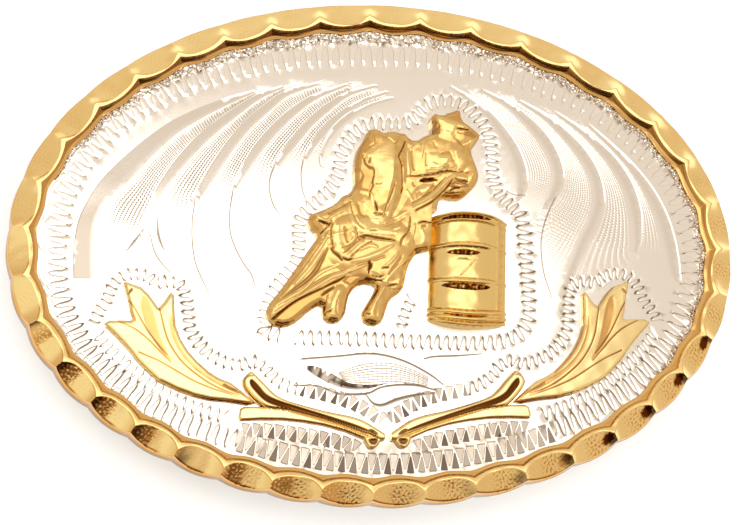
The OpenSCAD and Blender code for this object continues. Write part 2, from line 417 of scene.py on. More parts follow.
@dataclass
class Relief:
    """A form raised above the field, sculpted from strokes on a fine grid."""

    oval: Oval
    low: tuple[float, float]
    high: tuple[float, float]
    step: float = 0.11
    lip: float = 0.45
    # Tone of the whole form before its facets and strokes, a painted shade where it is above 0
    base_shade: float = 0.0
    crease_deg: float = 42.0
    x: Array = field(init=False)
    y: Array = field(init=False)
    height: Array = field(init=False)
    inside: Array = field(init=False)
    tone: Array = field(init=False)

    def __post_init__(self) -> None:
        """Lays out the grid."""
        across = np.arange(self.low[0], self.high[0] + self.step, self.step)
        up = np.arange(self.low[1], self.high[1] + self.step, self.step)
        self.x, self.y = np.meshgrid(across, up)
        self.height = np.full(self.x.shape, self.lip)
        self.inside = np.full(self.x.shape, -99.0)
        self.tone = np.full(self.x.shape, self.base_shade)

    def window(self, path: Array, margin: float) -> tuple[slice, slice]:
        """The part of the grid that a stroke reaches."""
        spans = []
        for column, low in ((1, self.low[1]), (0, self.low[0])):
            first = (path[:, column].min() - margin - low) / self.step
            last = (path[:, column].max() + margin - low) / self.step
            spans.append(slice(max(0, int(first)), max(1, int(last) + 2)))
        return spans[0], spans[1]

    def stroke(self, rows: Rows, section: Section) -> tuple[tuple[slice, slice], Array, Array]:
        """Evaluates a stroke with columns x, y, radius and height.

        Args:
            rows: The stroke's table.
            section: Its cross-section.

        Returns:
            The window of the grid, the stroke's height there and how far inside its edge each point is.
        """
        path = smooth_rows(rows)
        area = self.window(path, path[:, 2].max() + 0.5)
        x, y = self.x[area], self.y[area]
        height = np.zeros(x.shape)
        inside = np.full(x.shape, -99.0)
        for start, end in zip(path, path[1:]):
            run = end[:2] - start[:2]
            along = (x - start[0]) * run[0] + (y - start[1]) * run[1]
            share = np.clip(along / max(run @ run, 1e-9), 0, 1)
            away = np.hypot(x - start[0] - share * run[0], y - start[1] - share * run[1])
            radius = start[2] + share * (end[2] - start[2])
            level = start[3] + share * (end[3] - start[3])
            here = level * section.height(away / radius)
            height = np.where(np.abs(here) > np.abs(height), here, height)
            inside = np.maximum(inside, radius - away)
        return area, height, inside

    def region(self, outline: Rows) -> tuple[tuple[slice, slice], Array]:
        """Finds how far inside a closed outline the grid's points are.

        Args:
            outline: Its corners as x and y.

        Returns:
            The window of the grid, and the distance inside the outline there, negative outside.
        """
        corners = np.asarray(outline, float)
        area = self.window(corners, 0.5)
        x, y = self.x[area], self.y[area]
        away = np.full(x.shape, 99.0)
        odd = np.zeros(x.shape, bool)
        for start, end in zip(corners, np.roll(corners, -1, axis=0)):
            run = end - start
            share = np.clip(((x - start[0]) * run[0] + (y - start[1]) * run[1]) / (run @ run), 0, 1)
            away = np.minimum(away, np.hypot(x - start[0] - share * run[0], y - start[1] - share * run[1]))
            crosses = (start[1] > y) != (end[1] > y)
            rise = run[1] if run[1] else 1e-9
            odd ^= crosses & (x < start[0] + (y - start[1]) / rise * run[0])
        return area, np.where(odd, away, -away)

    def slab(self, outline: Rows, height: float, shoulder: float, blend: float = 0.05) -> None:
        """Adds a flat form with a closed outline and rounded shoulders.

        Args:
            outline: Its corners as x and y.
            height: Height of its top above the field.
            shoulder: Distance from the edge over which the top rounds off.
            blend: Range of heights over which it merges with what is there.
        """
        area, inside = self.region(outline)
        dome = np.sqrt(1 - (1 - np.clip(inside / shoulder, 0, 1)) ** 2)
        new = np.where(inside > 0, self.lip + (height - self.lip) * dome, self.lip)
        old = self.height[area]
        merged = np.maximum(old, new) + np.maximum(blend - np.abs(old - new), 0) ** 2 / (4 * blend)
        self.height[area] = np.where(inside > 0, merged, old)
        self.inside[area] = np.maximum(self.inside[area], inside)

    def facet(self, tone: float, rise: float, outline: Rows) -> None:
        """Lifts or sinks a facet with a closed outline and turns its tone."""
        area, inside = self.region(outline)
        self.height[area] += rise * smooth_step(0, 0.35, inside)
        self.tone[area] += (tone - self.tone[area]) * smooth_step(-0.04, 0.08, inside)

    def touch(self, tone: float, rise: float, points: Rows) -> None:
        """Lifts or sinks a stroke, given as x, y and radius, and turns its tone."""
        area, height, inside = self.stroke([(x, y, radius, rise) for x, y, radius in points], Section.SOFT)
        self.height[area] += height
        self.tone[area] += (tone - self.tone[area]) * smooth_step(0, 0.14, inside)

    def carve(self, rows: Rows, section: Section) -> None:
        """Adds its table's heights to the form: swellings where they are positive, cuts where negative."""
        area, height, _ = self.stroke(rows, section)
        self.height[area] += height

    def recess(self, strength: float) -> Array:
        """How far each place lies below its surroundings, for painted shade that darkens the recesses."""
        smooth = self.height.copy()
        for _ in range(24):
            total = smooth[1:-1, 1:-1] * 2 + smooth[:-2, 1:-1] + smooth[2:, 1:-1]
            smooth[1:-1, 1:-1] = (total + smooth[1:-1, :-2] + smooth[1:-1, 2:]) / 6
        return np.clip((smooth - self.height - 0.03) / 0.3 * strength, 0, strength)

    def solid(
        self, name: str, finish: bpy.types.Material, recess_shade: float = 0.8, gap: float = 0.05
    ) -> bpy.types.Object:
        """Cuts the grid along the form's edge and closes it with an upright wall and a back.

        Args:
            name: Name of the piece.
            finish: Its material.
            recess_shade: How much painted shade darkens its recesses.
            gap: Clearance between its back and the field.

        Returns:
            The object.
        """
        triangles = grid_faces(*self.x.shape)
        depth = self.inside.ravel()
        depth = np.where(np.abs(depth) < 0.05 * self.step, 0.05 * self.step, depth)
        count = (depth[triangles] > 0).sum(1)
        whole = triangles[count == 3]
        cut_points, cut_faces = [], []
        number: dict[tuple[int, int], int] = {}

        def crossing(one: int, other: int) -> int:
            """Number of the point where the edge of the form crosses a grid edge."""
            key = (min(one, other), max(one, other))
            if key not in number:
                number[key] = depth.size + len(cut_points)
                cut_points.append(key)
            return number[key]

        for corners in triangles[(count == 1) | (count == 2)].tolist():
            single = [depth[p] > 0 for p in corners]
            lone = single.index(sum(single) == 1)
            first, second, third = corners[lone], corners[(lone + 1) % 3], corners[(lone + 2) % 3]
            left, right = crossing(first, second), crossing(first, third)
            if sum(single) == 1:
                cut_faces.append((first, left, right))
            else:
                cut_faces += [(left, second, third), (left, third, right)]
        faces = np.vstack([whole, np.array(cut_faces)])
        ends = np.array(cut_points)
        share = depth[ends[:, 0]] / (depth[ends[:, 0]] - depth[ends[:, 1]])
        # Painted shade in the recesses, added to the painted tones of the facets and strokes
        tone_and_shade = np.clip(self.tone + self.recess(recess_shade), 0, 1)
        table = np.stack([self.x.ravel(), self.y.ravel(), self.height.ravel(), tone_and_shade.ravel()], 1)
        starts, stops = table[ends[:, 0]], table[ends[:, 1]]
        table = np.vstack([table, starts + share[:, None] * (stops - starts)])
        used, faces = np.unique(faces, return_inverse=True)
        faces = faces.reshape(-1, 3)
        table = table[used]
        return closed_solid(name, self.oval, table, faces, gap, finish, self.crease_deg)


def closed_solid(
    name: str,
    oval: Oval,
    table: Array,
    faces: Array,
    gap: float,
    finish: bpy.types.Material,
    crease_deg: float,
) -> bpy.types.Object:
    """Closes a sheet of triangles with upright walls round its edge and a back on the field.

    Args:
        name: Name of the piece.
        oval: The field that it stands on.
        table: Columns x, y, height above the field and tone, painted shade included.
        faces: The sheet's triangles.
        gap: Height of the back above the field.
        finish: The piece's material.
        crease_deg: Edges bent more sharply than this are shaded as edges.

    Returns:
        The object.
    """
    ground = oval.field_z(table[:, 0])
    top = np.stack([table[:, 0], table[:, 1], ground + table[:, 2]], 1)
    back = np.stack([table[:, 0], table[:, 1], ground + gap], 1)
    edges = np.vstack([faces[:, [0, 1]], faces[:, [1, 2]], faces[:, [2, 0]]])
    key = np.sort(edges, axis=1)
    _, place, times = np.unique(key[:, 0] * len(table) + key[:, 1], return_index=True, return_counts=True)
    rim = edges[place[times == 1]]
    low = rim + len(table)
    walls = np.vstack(
        [np.stack([rim[:, 0], low[:, 0], low[:, 1]], 1), np.stack([rim[:, 0], low[:, 1], rim[:, 1]], 1)]
    )
    every = np.vstack([faces, walls, faces[:, ::-1] + len(table)])
    tone_and_shade = np.concatenate([table[:, 3], np.full(len(table), 0.2)])
    return make_object(name, np.vstack([top, back]), every, finish, crease_deg, tone_and_shade)


# Engraved field


def nearest(points: Array, line: Array) -> tuple[Array, Array, Array]:
    """Finds where points lie beside a line.

    Args:
        points: The points, as rows of x and y.
        line: The line's own points.

    Returns:
        Each point's distance from the line, its place along it and the side it is on, 1 for left.
    """
    best = np.full(len(points), 1e9)
    place, side = np.zeros(len(points)), np.zeros(len(points))
    before = 0.0
    for start, end in zip(line, line[1:]):
        run = end - start
        length = max(np.linalg.norm(run), 1e-9)
        away = points - start
        share = np.clip(away @ run / length**2, 0, 1)
        dist = np.linalg.norm(away - share[:, None] * run, axis=1)
        near = dist < best - 1e-9
        best[near] = dist[near]
        place[near] = before + share[near] * length
        side[near] = np.where(run[0] * away[near, 1] - run[1] * away[near, 0] >= -1e-6, 1, -1)
        before += length
    return best, place, side


def rounded(outline: Rows) -> list[tuple[float, ...]]:
    """Outline with its corners cut twice, so that it bends smoothly."""
    points = np.array(outline)
    for _ in range(2):
        after = np.roll(points, -1, axis=0)
        points = np.stack([0.75 * points + 0.25 * after, 0.25 * points + 0.75 * after], 1).reshape(-1, 2)
    return [tuple(point) for point in points]


class Groove:
    """Collects the cuts of a graver and the points and lines that a mesh needs to follow them."""

    # Share of its half width over which the floor of a broad cut is flat
    floor = 0.8

    def __init__(self) -> None:
        """Starts with no cut."""
        self.points: list[Array] = []
        self.edges: list[Array] = []
        self.segments: list[Array] = []
        self.count = 0

    def add_points(self, points: Array) -> Array:
        """Adds points and returns their numbers."""
        numbers = np.arange(self.count, self.count + len(points))
        self.points.append(points)
        self.count += len(points)
        return numbers

    def add_line(self, points: Array, closed: bool = False) -> Array:
        """Adds a line that the mesh's edges follow and returns its points' numbers."""
        numbers = self.add_points(points)
        self.edges.append(np.stack([numbers[:-1], numbers[1:]], 1))
        if closed:
            self.edges.append(np.array([[numbers[-1], numbers[0]]]))
        return numbers

    def cut(self, path: Array, sizes: Array, broad: bool = False) -> None:
        """Adds a cut along a path.

        Args:
            path: Points of its bottom line as x and y.
            sizes: Its half width, depth and darkness, a painted shade in the cut, at each point.
            broad: Whether it has a flat floor and square ends, and not a V and round ends.
        """
        side = side_of(path) * sizes[:, :1]
        for place in (-1, -self.floor, 0, self.floor, 1) if broad else (-1, 0, 1):
            self.add_line(path + place * side)
        kind = np.full((len(path) - 1, 1), float(broad))
        self.segments.append(np.hstack([path[:-1], path[1:], sizes[:-1], sizes[1:], kind]))

    def at(self, points: Array, cell: float = 1.5) -> tuple[Array, Array]:
        """Depth and darkness of the deepest cut at each point."""
        cuts = np.vstack(self.segments)
        widest = np.maximum(cuts[:, 4], cuts[:, 7])
        low = np.minimum(cuts[:, :2], cuts[:, 2:4]) - widest[:, None]
        high = np.maximum(cuts[:, :2], cuts[:, 2:4]) + widest[:, None]
        depth, dark = np.zeros(len(points)), np.zeros(len(points))
        cells = np.floor(points / cell).astype(int)
        order = np.lexsort((cells[:, 1], cells[:, 0]))
        breaks = np.flatnonzero(np.any(np.diff(cells[order], axis=0), axis=1)) + 1
        for group in np.split(order, breaks):
            corner = cells[group[0]] * cell
            near = cuts[np.all((high >= corner) & (low <= corner + cell), axis=1)]
            if not len(near):
                continue
            start, end = near[:, :2], near[:, 2:4]
            run = end - start
            away = points[group][:, None, :] - start
            place = (away * run).sum(2) / np.maximum((run**2).sum(1), 1e-9)
            share = np.clip(place, 0, 1)
            dist = np.linalg.norm(away - share[..., None] * run, axis=2)
            broad = near[:, 10]
            width, deep, shade = (near[:, k] + share * (near[:, k + 3] - near[:, k]) for k in (4, 5, 6))
            kept = np.clip((1.001 - dist / np.maximum(width, 1e-6)) / (1 - self.floor * broad), 0, 1)
            kept = np.where((broad > 0) & (np.abs(place - 0.5) > 0.51), 0, kept)
            depth[group] = (deep * kept).max(1)
            dark[group] = (shade * kept).max(1)
        return depth, dark


class Fan(Enum):
    """A fan of flutes: the side its bands are on, its facets' width, its bands' painted shade and its
    liner's depth.
    """

    LEFT = (1, 0.12, 0.12, 1.5)
    RIGHT = (-1, 0.15, 0.12, 0.7)

    def __init__(self, side: int, facet: float, dull: float, liner: float) -> None:
        """Names the four values."""
        self.side = side
        self.facet = facet
        self.dull = dull
        self.liner = liner


@dataclass
class FieldPlate:
    """The bowed silver plate: wriggle-cut borders, fluted fans, a leaf cut and a stippled edge."""

    oval: Oval
    rim: "ScallopedRim"
    inset: float = 1.6
    thickness: float = 1.9
    crease_deg: float = 14.0
    seed: int = 11
    # Points between the cuts and on the back: reach along X and Y, gaps along X and Y, shift of every other
    # row and margin at the edge
    front_grid = (43, 29, 0.9, 0.8, 0.45, 3.2)
    back_grid = (42, 28.5, 1.5, 1.5, 0, 0.7)

    # Columns: angle round the oval in degrees, distances inward of the outer and the inner tips, and half
    # width, depth and darkness of the strokes
    # The strokes' darkness is painted shade, heaviest at the bottom
    border = (
        (0, 4.3, 6.15, 0.08, 0.006, 0.22), (50, 4.4, 6.6, 0.08, 0.005, 0.22),
        (67, 4.7, 7.2, 0.08, 0.005, 0.26), (90, 5.1, 7.9, 0.08, 0.005, 0.28),
        (119, 4.4, 6.8, 0.08, 0.005, 0.3), (133, 4.1, 6.3, 0.09, 0.006, 0.36),
        (160, 4.4, 6.7, 0.1, 0.01, 0.42), (180, 4.85, 7.1, 0.09, 0.012, 0.6),
        (193, 4.4, 6.6, 0.14, 0.02, 0.9), (208, 3.5, 6.2, 0.17, 0.03, 1), (225, 3.5, 6.2, 0.18, 0.03, 1),
        (243, 4, 6.5, 0.21, 0.03, 1), (244, 4, 6.5, 0.6, 0.04, 0.85), (270, 3.9, 6.4, 0.6, 0.05, 1),
        (300, 3.9, 6.4, 0.6, 0.04, 0.85), (301, 3.9, 6.4, 0.19, 0.03, 1), (320, 3.5, 6.2, 0.16, 0.03, 0.9),
        (332, 3.6, 6.2, 0.14, 0.03, 0.8), (347, 4.4, 6.5, 0.09, 0.012, 0.5),
        (360, 4.3, 6.15, 0.08, 0.006, 0.22),
    )
    # Columns: angle round the oval in degrees, length of one loop of the border there
    border_pitch = (
        (0, 1.36), (185, 1.36), (200, 1.15), (243, 1.1), (246, 1.36), (300, 1.36), (302, 1.1), (345, 1.36),
        (360, 1.36),
    )
    # Half width from which the ground between the strokes is sunk, and not the strokes
    filled_from: float = 0.3
    # Marks at the tips of the border's loops. Columns: first and last angle, which tips (0 outer, 1 inner),
    # length, half width, depth and darkness
    tips = (
        (22, 155, 1, 0.5, 0.26, 0.055, 0), (155, 218, 1, 0.16, 0.14, 0.05, 0.9),
        (-40, 35, 0, 0.55, 0.12, 0.03, 0.95), (-45, 12, 1, 0.3, 0.11, 0.03, 0.85),
    )
    # Distance beside a cut at which the mesh follows it again, so that its shading stays narrow
    guard: float = 0.05
    flute_slope: float = 0.036
    # Tone of the painted shade on the lower end of the outermost flute on the left, and where along X such
    # flutes end
    end_shade_tone: float = 0.58
    shaded_end_left: float = -35.0
    liner_pitch: float = 0.29
    # Slant of the strokes of the border and of the other rows, as a share of their reach
    border_lean: float = 0.1
    trail_lean: float = 0.16
    # How each row of loops is cut where its third column is 1. Columns: length of one loop, half the loops'
    # height, half width, depth and darkness of the strokes
    figure_cut = (1.05, 0.85, 0.16, 0.025, 0.9)
    inner_cut = (1, 0.65, 0.2, 0.03, 1)
    spray_cut = (0.95, 0.72, 0.21, 0.03, 1)
    lower_cut = (1, 0.75, 0.18, 0.03, 1)
    middle_cut = (1.3, 0.9, 0.54, 0.05, 0.9)
    # Middle line of the wriggle cuts round the figure, and how heavily it is cut there
    figure_trail = (
        (-12.2, -10.2, 1.3), (-14.2, -9.3, 1.3), (-14, -7.6, 0.7), (-13.6, -6, 0.7), (-12.6, -4.4, 0.7),
        (-11.3, -2.8, 0.7), (-10.1, -1, 0.7), (-9.6, 0.8, 0.7), (-9.5, 2.6, 0.7), (-9.3, 4.2, 0.7),
        (-8.2, 5.5, 0.7), (-6.9, 6.6, 0.7), (-5.6, 7.7, 0.7), (-4.8, 9, 0.7), (-4.3, 10.4, 0.7),
        (-4.1, 11.8, 0.7), (-3.4, 13.2, 0.7), (-2.4, 14.6, 0.7), (-1.2, 15.5, 0.7), (0.5, 15.9, 0.7),
        (2.5, 15.9, 0.7), (4.2, 16, 0.7), (5.4, 16.8, 0.7), (6.4, 18, 0.7), (7.9, 18.7, 0.7),
        (9.6, 18.8, 0.7), (11.2, 18.4, 0.7), (12.6, 17.3, 0.7), (13.8, 15.8, 0.7), (14.4, 14.2, 0.7),
        (14.6, 12.4, 0.7), (14.6, 10.4, 0.7), (14.7, 8.8, 0.7), (15.2, 7.3, 0.7), (16.4, 6.1, 0.7),
        (17.6, 5, 1), (18.1, 3.4, 1.8), (18.2, 1.5, 1.8), (18.2, -1, 1.8), (18.3, -3.5, 1.8),
        (18.3, -6, 1.8), (18.1, -8.2, 1.8), (17.2, -9.9, 1.8), (15.4, -10.8, 1.3), (13, -11.1, 1.3),
        (10, -11.1, 1.3), (7, -11, 1.3), (4.2, -10.9, 1.3), (1.2, -10.8, 1.3), (-1.8, -10.6, 1.3),
        (-4.8, -10.5, 1.3), (-7.8, -10.4, 1.3), (-10.4, -10.3, 1.3),
    )
    inner_trail = ((2.4, -9, 1), (2.9, -7.4, 1), (3.9, -5.6, 1))
    # Middle line of the wriggle cuts above a leaf spray, from its outer leaf to the middle
    spray_trail = (
        (-34.4, -8.4, 0.9), (-33.7, -7, 0.9), (-32.8, -5.8, 0.9), (-32.2, -4.3, 0.9), (-31.2, -3, 0.9),
        (-29.6, -2.5, 0.9), (-28, -2.8, 0.9), (-26.8, -3.6, 0.9), (-25.4, -3.5, 0.9), (-24.1, -3.8, 1.1),
        (-23.4, -5, 1.3), (-23.2, -6.8, 1.5), (-23.1, -8.6, 1.5), (-22.6, -10.2, 1.5), (-21.5, -11.6, 1.4),
        (-20.2, -12.6, 1.1), (-18.7, -13.3, 1.1), (-17.2, -13.6, 1.1), (-15.6, -13.2, 1.1),
        (-14.4, -13.8, 1.1), (-13.4, -14.9, 1.1), (-12.2, -15.9, 1.1), (-10.6, -16.5, 1.6),
        (-8.6, -17, 5.5), (-6.4, -17.4, 5.5), (-4.4, -18.1, 5.5), (-2.6, -18.9, 5.5), (-1.2, -19.9, 5.5),
        (0, -20.5, 5.5),
    )
    # Middle lines of the wriggle cuts below a leaf spray, and below its ribbon
    lower_trail = (
        (-33.9, -9.7, 0.9), (-32.7, -11.3, 0.9), (-31.2, -12.9, 0.9), (-29.6, -14.3, 1), (-28, -15.7, 1),
        (-26, -17.1, 1.1), (-23.7, -18.2, 1.2), (-21.3, -19.1, 1.3), (-19.2, -19.8, 1.3),
    )
    middle_trail = (
        (-17.6, -21.4, 0.9), (-14.4, -21.5, 1), (-11.4, -21.9, 1), (-8.4, -22.4, 1.1), (-5.4, -23, 1.1),
        (-3.2, -23.8, 0.9),
    )
    # Deep edges of the fluted fans on the left, with the flute's width there in the third column
    left_flutes = (
        ((-14.5, 19.8, 0.3), (-18.5, 18.6, 0.9), (-22, 17.2, 1.3), (-25, 15.6, 1.6), (-28, 13.4, 2),
         (-31, 10.8, 2.4), (-33.1, 8.6, 2.2), (-34.6, 6.3, 2.1), (-35.8, 3.8, 2.4), (-36.4, 0.5, 2.8),
         (-36.5, -3, 2.9)),
        ((-11, 20.4, 0.3), (-14, 19.4, 0.7), (-16.4, 18, 1), (-18.4, 16.6, 1.1), (-20.6, 14.9, 1.2),
         (-22.6, 12.9, 1.2), (-24.5, 10.6, 1.1), (-26.2, 8, 0.9), (-27.3, 5.4, 0.6), (-28.4, 2.6, 0.3)),
        ((-6.5, 20.9, 0.3), (-10.5, 19.9, 0.7), (-13.1, 18.2, 1), (-15.5, 16.2, 1.1), (-17.3, 14.1, 1.1),
         (-18.8, 12, 1.1), (-20.1, 10, 1.1), (-21.2, 8, 0.9), (-21.8, 6.8, 0.6)),
        ((-3, 20.8, 0.3), (-7, 19.5, 0.7), (-9.7, 17.8, 0.9), (-11.9, 15.9, 1), (-13.8, 13.8, 1),
         (-15.3, 11.7, 0.9), (-16.5, 9.6, 0.7), (-17.2, 8, 0.4)),
        ((0.5, 20.7, 0.3), (-3, 19.8, 0.6), (-5.8, 18.1, 0.9), (-8, 16.2, 0.9), (-9.8, 14.1, 0.9),
         (-11.2, 12.4, 0.8), (-12.1, 10.9, 0.5)),
        ((1.8, 19.9, 0.3), (-1.4, 18.9, 0.6), (-4.4, 17, 0.8), (-6.4, 15.1, 0.9), (-7.8, 13.2, 0.7),
         (-8.6, 11.6, 0.4)),
        ((2.6, 19.2, 0.3), (-0.4, 18.4, 0.5), (-3.2, 16.9, 0.7), (-5.2, 15, 0.7), (-6.2, 13.4, 0.6),
         (-6.6, 11.9, 0.4)),
    )
    right_flutes = (
        ((27, 16.2, 0.3), (30, 13.6, 0.6), (32.6, 11, 0.9), (34.7, 8.3, 1.3), (36.2, 5.4, 1.5),
         (37.1, 2.4, 1.6), (37.5, -0.4, 1.5), (37.6, -2.4, 1.3), (37.6, -3.4, 0.7)),
        ((23, 17.6, 0.3), (26.2, 15.6, 0.7), (28.6, 13.6, 1), (30.6, 11.5, 1.3), (32.2, 8.8, 1.4),
         (33, 6, 1.4), (33.1, 3.6, 1.2), (32.8, 1.4, 0.8), (32.3, 0.2, 0.4)),
        ((18.5, 19, 0.3), (21.8, 17.2, 0.7), (24.3, 15.2, 1.1), (26.2, 13.2, 1.3), (27.7, 10.8, 1.3),
         (28.4, 8.4, 1.3), (28.4, 6, 1.3), (27.5, 3.6, 1.2), (26.2, 1.4, 1.1), (25, -0.8, 0.9),
         (24, -3, 0.9), (23.2, -5.4, 0.7)),
        ((14, 20.2, 0.3), (17.2, 18.7, 0.7), (19.6, 16.9, 1.1), (21.6, 14.8, 1.3), (22.9, 12.5, 1.3),
         (23.5, 10.2, 1.3), (23.3, 8.4, 1.3), (22.4, 6.9, 1), (21.2, 5.8, 0.5)),
        ((10, 20.6, 0.3), (12.8, 19, 0.7), (15, 17.2, 1), (16.8, 15, 1.3), (18.1, 12.8, 1.4),
         (18.8, 10.4, 1.4), (18.8, 8.6, 1.3), (18.4, 7.4, 1.1), (17.8, 6.8, 0.5)),
    )
    # Hair lines: the stems under the flutes and the outline of the leaf cut. Third column: half width
    hair_lines = (
        ((-27.4, 2.4, 0.06), (-27, 0.4, 0.09), (-26.3, -1, 0.09), (-25.2, -2.3, 0.05)),
        ((-26.5, 4.4, 0.05), (-26.4, 2.6, 0.2), (-26.1, 1.2, 0.16), (-25.7, 0.2, 0.04)),
        ((-28.5, 2.5, 0.05), (-29.3, 1.5, 0.17), (-30.3, 0.2, 0.05)),
        ((-28.6, 2.2, 0.06), (-28.7, 0, 0.04)),
        ((-21.9, 6.6, 0.08), (-22.3, 4, 0.09), (-22.4, 1.5, 0.1), (-22.1, -1.2, 0.09), (-21.3, -3.4, 0.08),
         (-20.5, -5.2, 0.04)),
        ((-17.3, 7.8, 0.08), (-17.8, 5, 0.09), (-17.8, 2.4, 0.09), (-17.2, 0.4, 0.09), (-16.3, -1.4, 0.09),
         (-15.4, -2.8, 0.09), (-15, -4.6, 0.05)),
        ((-12.2, 10.7, 0.07), (-12.8, 9.2, 0.08), (-12.9, 7.6, 0.08), (-12.5, 5.8, 0.08),
         (-11.7, 4.5, 0.04)),
        ((-8.7, 11.4, 0.07), (-9, 9.8, 0.08), (-8.9, 7.6, 0.07), (-8.5, 6.4, 0.04)),
        ((-6.7, 11.7, 0.07), (-6.6, 10.6, 0.07), (-6.2, 10.5, 0.04)),
        ((22.3, 6.9, 0.08), (21.3, 5, 0.09), (20.5, 2.8, 0.08), (20.2, 0.5, 0.08), (20.4, -2.5, 0.08),
         (21.2, -5.4, 0.05)),
        ((18.4, 7.2, 0.08), (17.4, 7.2, 0.08), (16.4, 7.6, 0.06)),
        ((-9.7, -12.9, 0.12), (-5.4, -12.6, 0.12), (-2, -12.3, 0.13), (0.6, -12.6, 0.14),
         (3.2, -13.5, 0.14), (5.7, -14.9, 0.14), (7.2, -16.1, 0.1)),
        ((-10.7, -16.1, 0.1), (-8, -16.2, 0.12), (-5.6, -17.1, 0.15), (-3, -17.2, 0.16), (-1.7, -17, 0.14),
         (-0.4, -16.4, 0.12), (1.8, -16.1, 0.14), (4.1, -16.2, 0.14), (6.3, -16.8, 0.1)),
        ((-2.2, -17.3, 0.1), (-1.4, -18.3, 0.16), (-0.3, -18.5, 0.2), (1.6, -17.8, 0.22), (3.9, -17.3, 0.2),
         (6.1, -17.1, 0.14)),
        ((5, -13, 0.08), (6.2, -12.7, 0.12), (9, -12.6, 0.12), (12, -12.4, 0.06)),
    )
    # Factor of the hair lines' half widths, slope of their sides and their painted shade
    hair_width: float = 1.35
    hair_slope: float = 0.2
    hair_dark: float = 0.65
    # Hair lines below this height get more painted shade
    lens_top: float = -11.0
    lens_dark: float = 0.85
    # The dark leaf cut below the figure
    leaf_cut = (
        (-9.1, -14, 0.3), (-8.2, -14.4, 0.55), (-7, -15, 0.65), (-5.8, -15.7, 0.62), (-4.4, -16.25, 0.45),
        (-2.8, -16.4, 0.36), (-1.3, -16.25, 0.2), (0.3, -15.95, 0.05),
    )
    leaf_slope: float = 0.12
    # Number of the hatching's long lines; half width, depth and darkness of its long and its cross lines
    hatch_lines: int = 8
    hatch_along = (0.09, 0.008, 1)
    hatch_across = (0.07, 0.006, 0.6)
    leaf_hatch_upper = (
        (-5.4, -14.6), (-3.4, -13.8), (-1.2, -13.4), (1.1, -13.5), (3.1, -14.1), (5.4, -15.2),
    )
    leaf_hatch_lower = ((-5, -15.5), (-3.4, -15.9), (-1.4, -15.9), (0.6, -15.8), (2.6, -15.9), (5.2, -16.3))

    def wriggle(
        self, marks: Groove, table: Array, pitch: Array | float, lean: float, heavy: float = 1.0
    ) -> tuple[Array, Array]:
        """Cuts a row of narrow loops, the way a flat graver is walked from side to side.

        Args:
            marks: Where the cuts are collected.
            table: The row's middle line, with columns x, y, half reach, half width, depth and darkness.
            pitch: Length of one loop along the row, or one for each of its points.
            lean: Slant of the strokes, as a share of their reach.
            heavy: 1 for heavy tips on the right of the line, -1 for heavy ones on its left, 0 for neither.

        Returns:
            The places of the loops' tips on the right and on the left of the line.
        """
        draw = np.random.default_rng(self.seed)
        steps = 12
        run = run_of(table)
        pitch = np.broadcast_to(pitch, run.shape)
        turns = np.concatenate([[0], np.cumsum(2 * np.diff(run) / (pitch[1:] + pitch[:-1]))])
        count = max(1, round(turns[-1]))
        share = np.linspace(0, 1, steps * count + 1)
        middle = np.stack([np.interp(share * turns[-1], turns, column) for column in table.T], 1)
        phase = 2 * math.pi * share * count
        side = side_of(middle)
        along = np.stack([side[:, 1], -side[:, 0]], 1)
        loops = np.arange(len(share)) // (steps // 2)
        shift = draw.normal(0, 0.03, loops[-1] + 1)[loops]
        stretch = draw.normal(1, 0.05, loops[-1] + 1)[loops]
        wave = 0.3 * np.cos(phase) + 0.7 * np.arcsin(np.cos(phase)) * 2 / math.pi
        reach = middle[:, 2] * wave * stretch
        slide = pitch.mean() * 0.055 * np.sin(2 * phase) + lean * reach + shift
        path = middle[:, :2] + side * reach[:, None] + along * slide[:, None]
        swell = 0.75 + 0.25 * (1 - heavy * np.cos(phase)) / 2 if heavy else 0.45 + 0.6 * np.abs(wave) ** 1.5
        swell *= draw.uniform(0.85, 1.1, len(swell)) * np.where(np.sin(phase) > 0, 1.25, 0.7)
        filled = middle[:, 3] > self.filled_from
        for run in np.split(np.arange(len(path)), np.flatnonzero(np.diff(filled)) + 1):
            if not filled[run[0]] and len(run) > 1:
                marks.cut(path[run], middle[run, 3:6] * swell[run, None])
        turns = path[:: steps // 2]
        for number, (first, tip, last) in enumerate(zip(turns, turns[1:], turns[2:])):
            force = middle[(number + 1) * steps // 2, 3:6]
            if force[0] > self.filled_from:
                # Wedges pointing one way get more painted shade than those pointing the other
                width, low, high = (0.8, 0.75, 1.1) if number % 2 else (1, 0.45, 0.8)
                change = (width, 1, draw.uniform(low, high))
                self.wedge(marks, tip, (first + last) / 2, force * change)
        return path[steps // 2 :: steps], path[::steps]

    def wedge(self, marks: Groove, tip: Array, mouth: Array, force: Array) -> None:
        """Sinks the ground between two strokes, so that they stand up as thin ridges.

        Args:
            marks: Where the cuts are collected.
            tip: Where the two strokes meet.
            mouth: The middle between their other ends.
            force: Half width, depth and darkness of the sunk ground, the darkness a painted shade.
        """
        share = np.array([[0.2], [0.26], [0.6], [0.94], [1.0]])
        sizes = np.array([[0.14, 0, 0], [0.24, 1, 1], [0.62, 1, 1], [0.97, 1, 1], [1.0, 0, 0]]) * force
        marks.cut(tip + share * (mouth - tip), np.minimum(sizes, (9, 9, 0.97)), broad=True)

